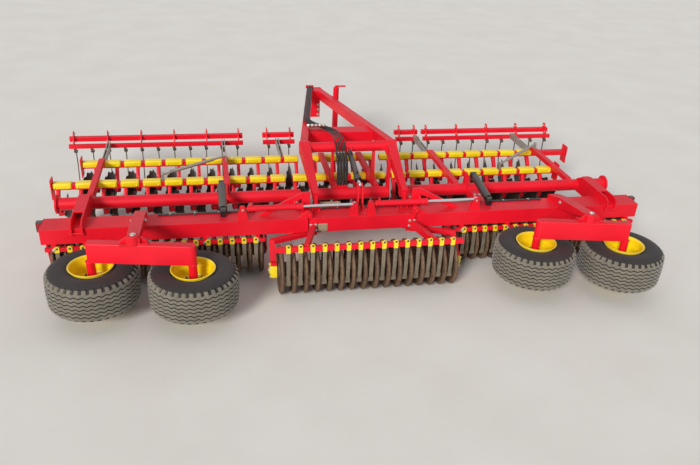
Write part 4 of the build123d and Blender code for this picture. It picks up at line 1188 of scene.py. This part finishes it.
@dataclass
class CentreFittings:
    """Small parts about the centre: step plate, wear plate, parked couplers, hose guards and knee gussets."""

    step_at: Point = (-315, -1096, 722)
    step_size: Point = (230, 62, 16)
    step_wall: float = -1135.6
    wear_at: Point = (-448, -1400.2, 592)
    wear_size: Point = (108, 92, 9)
    rack_at: Point = (-300, 236, 1130.3)
    coupler_pitch: float = 36
    hose_x: tuple[float, ...] = (-58, -92, -126, -160)
    hose_foot: Point = (0, -679, 772)
    hose_straight: float = 139
    hose_bend: float = 200
    hose_rise: Point = (0, 283, 215)
    guard_pitch: float = 5
    guard_turns: int = 78
    knee: Point = (530, -396, 1128)
    knee_inner: float = 458
    leg_foot: Point = (500, -1205, 875)
    gusset: float = 104

    def step_plate(self) -> None:
        """Galvanised step plate, soil-stained, on two brackets along the front edge of the centre beam."""
        x, y, z = self.step_at
        bm = bmesh.new()
        rounded_plate(bm, self.step_size, Matrix.Translation(self.step_at), 5, 3)
        for dx in (-85, 85):
            slab(bm, [(-12, -94), (12, -94), (12, 0), (-12, 0)],
                 upright_frame((x + dx, self.step_wall, z), (-1, 0, 0)), 34)
            hex_bolt(bm, (x + dx, y, z + self.step_size[2]), (0, 0, 1), 17)
        place_piece(bm, "step_plate", "beam", (STAINED,))

    def wear_plate(self) -> None:
        """Soil-caked wear plate bolted to the rear face of the centre beam, beside the packer's hanger."""
        x, y, z = self.wear_at
        bm = bmesh.new()
        rounded_plate(bm, self.wear_size, upright_frame(self.wear_at, (1, 0, 0)), 12, 3)
        for dx in (-36, 36):
            for dz in (-28, 28):
                hex_bolt(bm, (x + dx, y - self.wear_size[2], z + dz), (0, -1, 0), 13)
        place_piece(bm, "wear_plate", "beam", (STAINED,))

    def couplers(self) -> None:
        """Hose couplers parked in their bracket on the tie box, beside the left drawbar beam."""
        x, y, z = self.rack_at
        bm = bmesh.new()
        slab(bm, [(-92, 0), (92, 0), (92, 46), (60, 62), (-60, 62), (-92, 46)],
             upright_frame(self.rack_at, (1, 0, 0)), 8)
        profile = [(0, 0), (13, 0), (13, 24), (17, 26), (17, 52), (14, 56), (14, 66), (19, 68), (19, 86),
                   (15, 90), (9, 92), (9, 98), (0, 98)]
        for i in range(-2, 3):
            revolve(bm, profile, 18,
                    axis_frame((x + self.coupler_pitch * i, y - 4, z + 37.7), (0.16 * i, -0.82, 0.42)))
        place_piece(bm, "parked_couplers", "drawbar", (PLATED,))

    def hose_guards(self) -> None:
        """Spiral guards wound round the hoses from the port block up to the knee tube."""
        rise = Vector(self.hose_rise).normalized()
        bend, radius, straight = rise.angle(Vector((0, 0, 1))), self.hose_bend, self.hose_straight
        bm = bmesh.new()
        for x in self.hose_x:
            stations = []
            for i in range(self.guard_turns):
                for reach, wide in ((0, 16.4), (3.4, 16.4), (3.8, 14), (4.6, 14)):
                    run = self.guard_pitch * i + reach
                    turn = min(max(0.0, (run - straight) / radius), bend)
                    spot = Vector(self.hose_foot) + rise * max(0.0, run - straight - radius * bend)
                    spot += Vector((x, radius * (1 - cos(turn)), min(run, straight) + radius * sin(turn)))
                    stations.append((spot, Vector((0, cos(turn), -sin(turn))), wide))
            tube(bm, stations, Vector((1, 0, 0)))
        place_piece(bm, "hose_guards", "drawbar", (HOSE,), sharp=60)

    def knee_gussets(self) -> None:
        """Rounded gussets in the corners between the knee tube and the legs."""
        down = (Vector(self.leg_foot) - Vector(self.knee)).normalized()
        reach = self.gusset
        outline = [(-8, -8), (reach, -8)] + arc((reach, reach), reach, 270, 180, 8) + [(-8, reach)]
        bm = bmesh.new()
        for side in Side:
            across = Vector((-side.value, 0, 0))
            normal = across.cross(down)
            at = Matrix((across, down, normal)).transposed().to_4x4()
            at.translation = Vector((side.value * self.knee_inner, *self.knee[1:])) + down * 52 - normal * 9
            slab(bm, outline, at, 18, bevel=2)
        place_piece(bm, "knee_gussets", "drawbar", (RED,))

    def build(self) -> None:
        """Build the step, the wear plate, the couplers, the guards and the gussets."""
        self.step_plate()
        self.wear_plate()
        self.couplers()
        self.hose_guards()
        self.knee_gussets()


@dataclass
class SteelLines:
    """Two hard hydraulic lines clipped along a beam's top, each with its union at both ends."""

    name: str
    body: str
    span: Pair
    y: float = -1172
    top: float = 705
    pipe: float = 6
    gap: float = 18
    clip_pitch: float = 260

    def build(self) -> None:
        """Build the lines, their unions and clips."""
        low, length = self.span[0], self.span[1] - self.span[0]
        bm = bmesh.new()
        line = [(0, 0), (9, 0), (9, 26), (self.pipe, 28), (self.pipe, length - 28), (9, length - 26),
                (9, length), (0, length)]
        for y in (self.y - self.gap / 2, self.y + self.gap / 2):
            revolve(bm, line, 12, axis_frame((low, y, self.top + self.pipe + 3), (1, 0, 0)))
        count = max(1, round(length / self.clip_pitch))
        for i in range(count):
            x = low + length * (i + 0.5) / count
            slab(bm, [(-30, 0), (30, 0), (30, 6), (18, 17), (-18, 17), (-30, 6)],
                 upright_frame((x - 11, self.y, self.top + 0.2), (0, 1, 0)), 22)
            hex_bolt(bm, (x, self.y, self.top + 17), (0, 0, 1), 11, 1)
        place_piece(bm, f"steel_lines_{self.name}", self.body, (BLACK, PLATED))


def dress_nodes(record: dict, nodes: dict) -> None:
    """Give every CAD node that stays in view its finish.

    Args:
        record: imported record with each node's slot.
        nodes: CAD objects by node name.
    """
    finishes = {finish.slot: finish for finish in (RED, YELLOW, BLACK, DISC, RING, ZINC, CHROME, STEEL,
                                                   SIDEWALL, HOSE)}
    slots = {part["node"]: part["material_slot"] for part in record["subparts"]}
    for name, piece in nodes.items():
        material = finishes[slots[name]].build()
        for material_slot in piece.material_slots:
            material_slot.material = material
        LOG.info("%s: %s", name, material.name)


# Camera, floor and light


@dataclass(frozen=True)
class Viewpoint:
    """Camera where the photograph was taken from, in metres and degrees."""

    place: Point = (-1.574, -7.884, 4.041)
    yaw: float = 12.46
    pitch: float = 27.99
    roll: float = 3.11
    lens: float = 35.157

    def set_up(self) -> None:
        """Create the camera and make it the scene's own."""
        yaw, pitch, roll = radians(self.yaw), radians(self.pitch), radians(self.roll)
        ahead = Vector((sin(yaw) * cos(pitch), cos(yaw) * cos(pitch), -sin(pitch)))
        level = Vector((cos(yaw), -sin(yaw), 0))
        rise = level.cross(ahead)
        right = level * cos(roll) + rise * sin(roll)
        up = rise * cos(roll) - level * sin(roll)
        data = bpy.data.cameras.new("photo_camera")
        data.lens, data.sensor_width, data.sensor_fit = self.lens, 36, "HORIZONTAL"
        data.clip_end = 300
        camera = bpy.data.objects.new("photo_camera", data)
        camera.matrix_world = Matrix((right, up, -ahead)).transposed().to_4x4()
        camera.location = self.place
        bpy.context.scene.collection.objects.link(camera)
        bpy.context.scene.camera = camera


@dataclass(frozen=True)
class Studio:
    """Pale floor, a soft key light from the photograph's sun and an even sky."""

    floor: str = "#e9e6e0"
    floor_cloud: str = "#e3dfd8"
    floor_cloud_mm: float = 900
    floor_half: float = 80
    key_strength: float = 2.6
    key_from: Point = (-0.5, -0.74, 0.44)
    key_angle: float = 16
    sky_strength: float = 0.5
    sky: str = "#f4f6fa"
    backdrop: float = 0.86

    def set_up(self) -> None:
        """Lay the floor and hang the lights."""
        self.lay_floor()
        self.hang_key()
        self.fill_sky()
        bpy.context.scene.view_settings.view_transform = "Standard"

    def lay_floor(self) -> None:
        """Lay a pale floor of sealed concrete, with faint clouds in it."""
        material = bpy.data.materials.new("sealed_pale_concrete")
        material.use_nodes = True
        tree = material.node_tree
        coords = add_node(tree, "ShaderNodeTexCoord")
        cloud = add_node(tree, "ShaderNodeTexNoise",
                         {"Vector": coords.outputs["Object"], "Scale": per_metre(self.floor_cloud_mm),
                          "Detail": 4.0})
        tone = add_node(tree, "ShaderNodeMapRange",
                        {0: cloud.outputs[0], 1: CLOUD_SPAN[0], 2: CLOUD_SPAN[1], 3: 0.0, 4: 1.0})
        mix = add_node(tree, "ShaderNodeMix",
                       {0: tone.outputs[0], 6: linear(self.floor), 7: linear(self.floor_cloud)},
                       data_type="RGBA")
        shader = tree.nodes["Principled BSDF"]
        tree.links.new(mix.outputs[2], shader.inputs["Base Color"])
        shader.inputs["Roughness"].default_value = 0.85
        bm = bmesh.new()
        bmesh.ops.create_grid(bm, x_segments=4, y_segments=4, size=self.floor_half)
        mesh = bpy.data.meshes.new("studio_floor")
        bm.to_mesh(mesh)
        bm.free()
        mesh.materials.append(material)
        floor = bpy.data.objects.new("studio_floor", mesh)
        bpy.context.scene.collection.objects.link(floor)

    def hang_key(self) -> None:
        """Hang the soft key light."""
        data = bpy.data.lights.new("key_light", "SUN")
        data.energy, data.angle = self.key_strength, radians(self.key_angle)
        data.color = (1.0, 0.975, 0.94)
        key = bpy.data.objects.new("key_light", data)
        key.rotation_euler = Vector(self.key_from).to_track_quat("Z", "Y").to_euler()
        bpy.context.scene.collection.objects.link(key)

    def fill_sky(self) -> None:
        """Fill in with an even sky that camera and mirror rays see as a pale backdrop."""
        world = bpy.data.worlds.new("studio_sky")
        bpy.context.scene.world = world
        world.use_nodes = True
        tree = world.node_tree
        rays = add_node(tree, "ShaderNodeLightPath").outputs
        seen = rays["Is Camera Ray"]
        for ray in ("Is Glossy Ray", "Is Transmission Ray"):
            seen = add_node(tree, "ShaderNodeMath", {0: seen, 1: rays[ray]}, operation="MAXIMUM").outputs[0]
        strength = add_node(tree, "ShaderNodeMapRange",
                            {0: seen, 1: 0.0, 2: 1.0, 3: self.sky_strength, 4: self.backdrop})
        sky = tree.nodes["Background"]
        sky.inputs["Color"].default_value = linear(self.sky)
        tree.links.new(strength.outputs[0], sky.inputs["Strength"])


def wheel_places() -> list[tuple[str, Pair]]:
    """Find the four wheels at the ends of the turned bogies.

    Returns:
        Name and centre of each wheel.
    """
    places = []
    for side in Side:
        for end in (-1, 1):
            place, reach = "outer" if end == side.value else "inner", end * BOGIE_HALF
            centre = (side.value * BOGIE_X + reach * cos(BOGIE_TURN), BOGIE_Y + reach * sin(BOGIE_TURN))
            places.append((f"{side.word}_{place}", centre))
    return places


def wing_fasteners(side: Side) -> Fasteners:
    """Bolts and pins that one wing shows.

    Args:
        side: side of the wing.

    Returns:
        The wing's fasteners.
    """
    s, ways = side.value, (-1, 1)
    # Pins of the bogie's arm, of the wing's hinge and of the fold cylinder
    pins = [((s * PIVOT_X + way * 60, -1440, 790), (way, 0, 0), 21) for way in ways]
    pins += [((s * 600, -1379, HINGE_Z), (0, -1, 0), 17), ((s * FOLD_X[1], -1371, FOLD_Z), (0, -1, 0), 13)]
    # Bolts of the scraper bar, of the links and, on both faces, of the board's lug plates
    bar_y, bar_z, half = WING_BAR
    bolts = [((s * x, bar_y - half, bar_z), (0, -1, 0), 22) for x in STRUT_X]
    bolts += [((s * x + way * 30, -900, 670), (0, 0, 1), 20) for x in LINK_X for way in ways]
    for low, high in BOARD_BARS[side.word]:
        count = max(1, int((high - low - LUG_ENDS) // LUG_PITCH))
        for x in evenly(low + LUG_MARGIN, high - LUG_MARGIN, count):
            bolts += [((x + way * LUG_HALF, y, z), (way, 0, 0), 15) for y, z in LUG_BOLTS for way in ways]
    return Fasteners(f"wing_{side.word}", bolts, pins)


def centre_fasteners() -> list[Fasteners]:
    """Bolts and pins of the drawbar and of the centre beam.

    Returns:
        The drawbar's and the beam's fasteners.
    """
    ways, foot = (-1, 1), HINGE_X - 15
    drawbar_bolts = [((x, HEAD_PLATE_Y, z), (0, -1, 0), 24) for x in (-75, 75) for z in (600, 680, 760)]
    drawbar_pins = [((s * foot, HINGE_Y, HINGE_Z), (-s, 0, 0), 18) for s in ways]
    beam_pins = [((s * HINGE_X + way * HINGE_LUG, HINGE_Y, HINGE_Z), (way, 0, 0), 24) for s in ways
                 for way in ways]
    beam_bolts = [((s * HANGER_X + dx, -1420.3, z), (0, -1, 0), 20) for s in ways for dx in (-26, 26)
                  for z in (568, 632)]
    return [Fasteners("drawbar", drawbar_bolts, drawbar_pins), Fasteners("beam", beam_bolts, beam_pins)]


def main() -> None:
    """Build the classes in order and report each piece."""
    logging.basicConfig(level=logging.INFO, format="%(name)s %(message)s")
    Viewpoint().set_up()
    Studio().set_up()
    dress_nodes(frame["record"], frame["nodes"])
    for name, centre in wheel_places():
        FieldTyre(centre, name).build()
        WheelRim(centre, name).build()
    for section in ("left", "centre", "right"):
        ToolSection(section).build()
    RingPacker("centre_packer", CENTRE_PACKER_Y, CENTRE_RING, CENTRE_RINGS, CENTRE_CORE, stub=76).build()
    for side in Side:
        first, core = min(side.span((WING_RING, WING_LAST_RING))), side.span(WING_CORE)
        RingPacker(f"wing_packer_{side.word}", PACKER_Y, first, WING_RINGS, core, stub=30).build()
    places = [CENTRE_RING + RING_PITCH * (i + 0.5) for i in range(CENTRE_RINGS - 1)]
    ScraperRow("centre_scrapers", "beam", places, CENTRE_BAR, wide=46, eye=40).build()
    for side in Side:
        places = [side.value * (WING_RING + RING_PITCH * (i + 0.5)) for i in range(WING_RINGS - 1)]
        ScraperRow(f"scrapers_{side.word}", f"wing_{side.word}", places, WING_BAR, wide=50, eye=22).build()
        PackerBearing(side).build()
        WalkingBogie(side).build()
        wing_fasteners(side).build()
        BeamEndLamp(side).build()
        SpringCoils(side).build()
    for fasteners in centre_fasteners():
        fasteners.build()
    CentreFittings().build()
    for name, body, span in STEEL_LINES:
        SteelLines(name, body, span).build()
    for side in Side:
        base, toward = ((x, FOLD_Y, FOLD_Z) for x in side.span(FOLD_X))
        CylinderFittings(f"fold_barrel_{side.word}", base, toward, length=640).build()
    CylinderFittings("tilt_barrel", (0, -490, 1100), (0, -1129.9, 955.5), length=560, finish=BLACK).build()


if __name__ == "__main__":
    main()
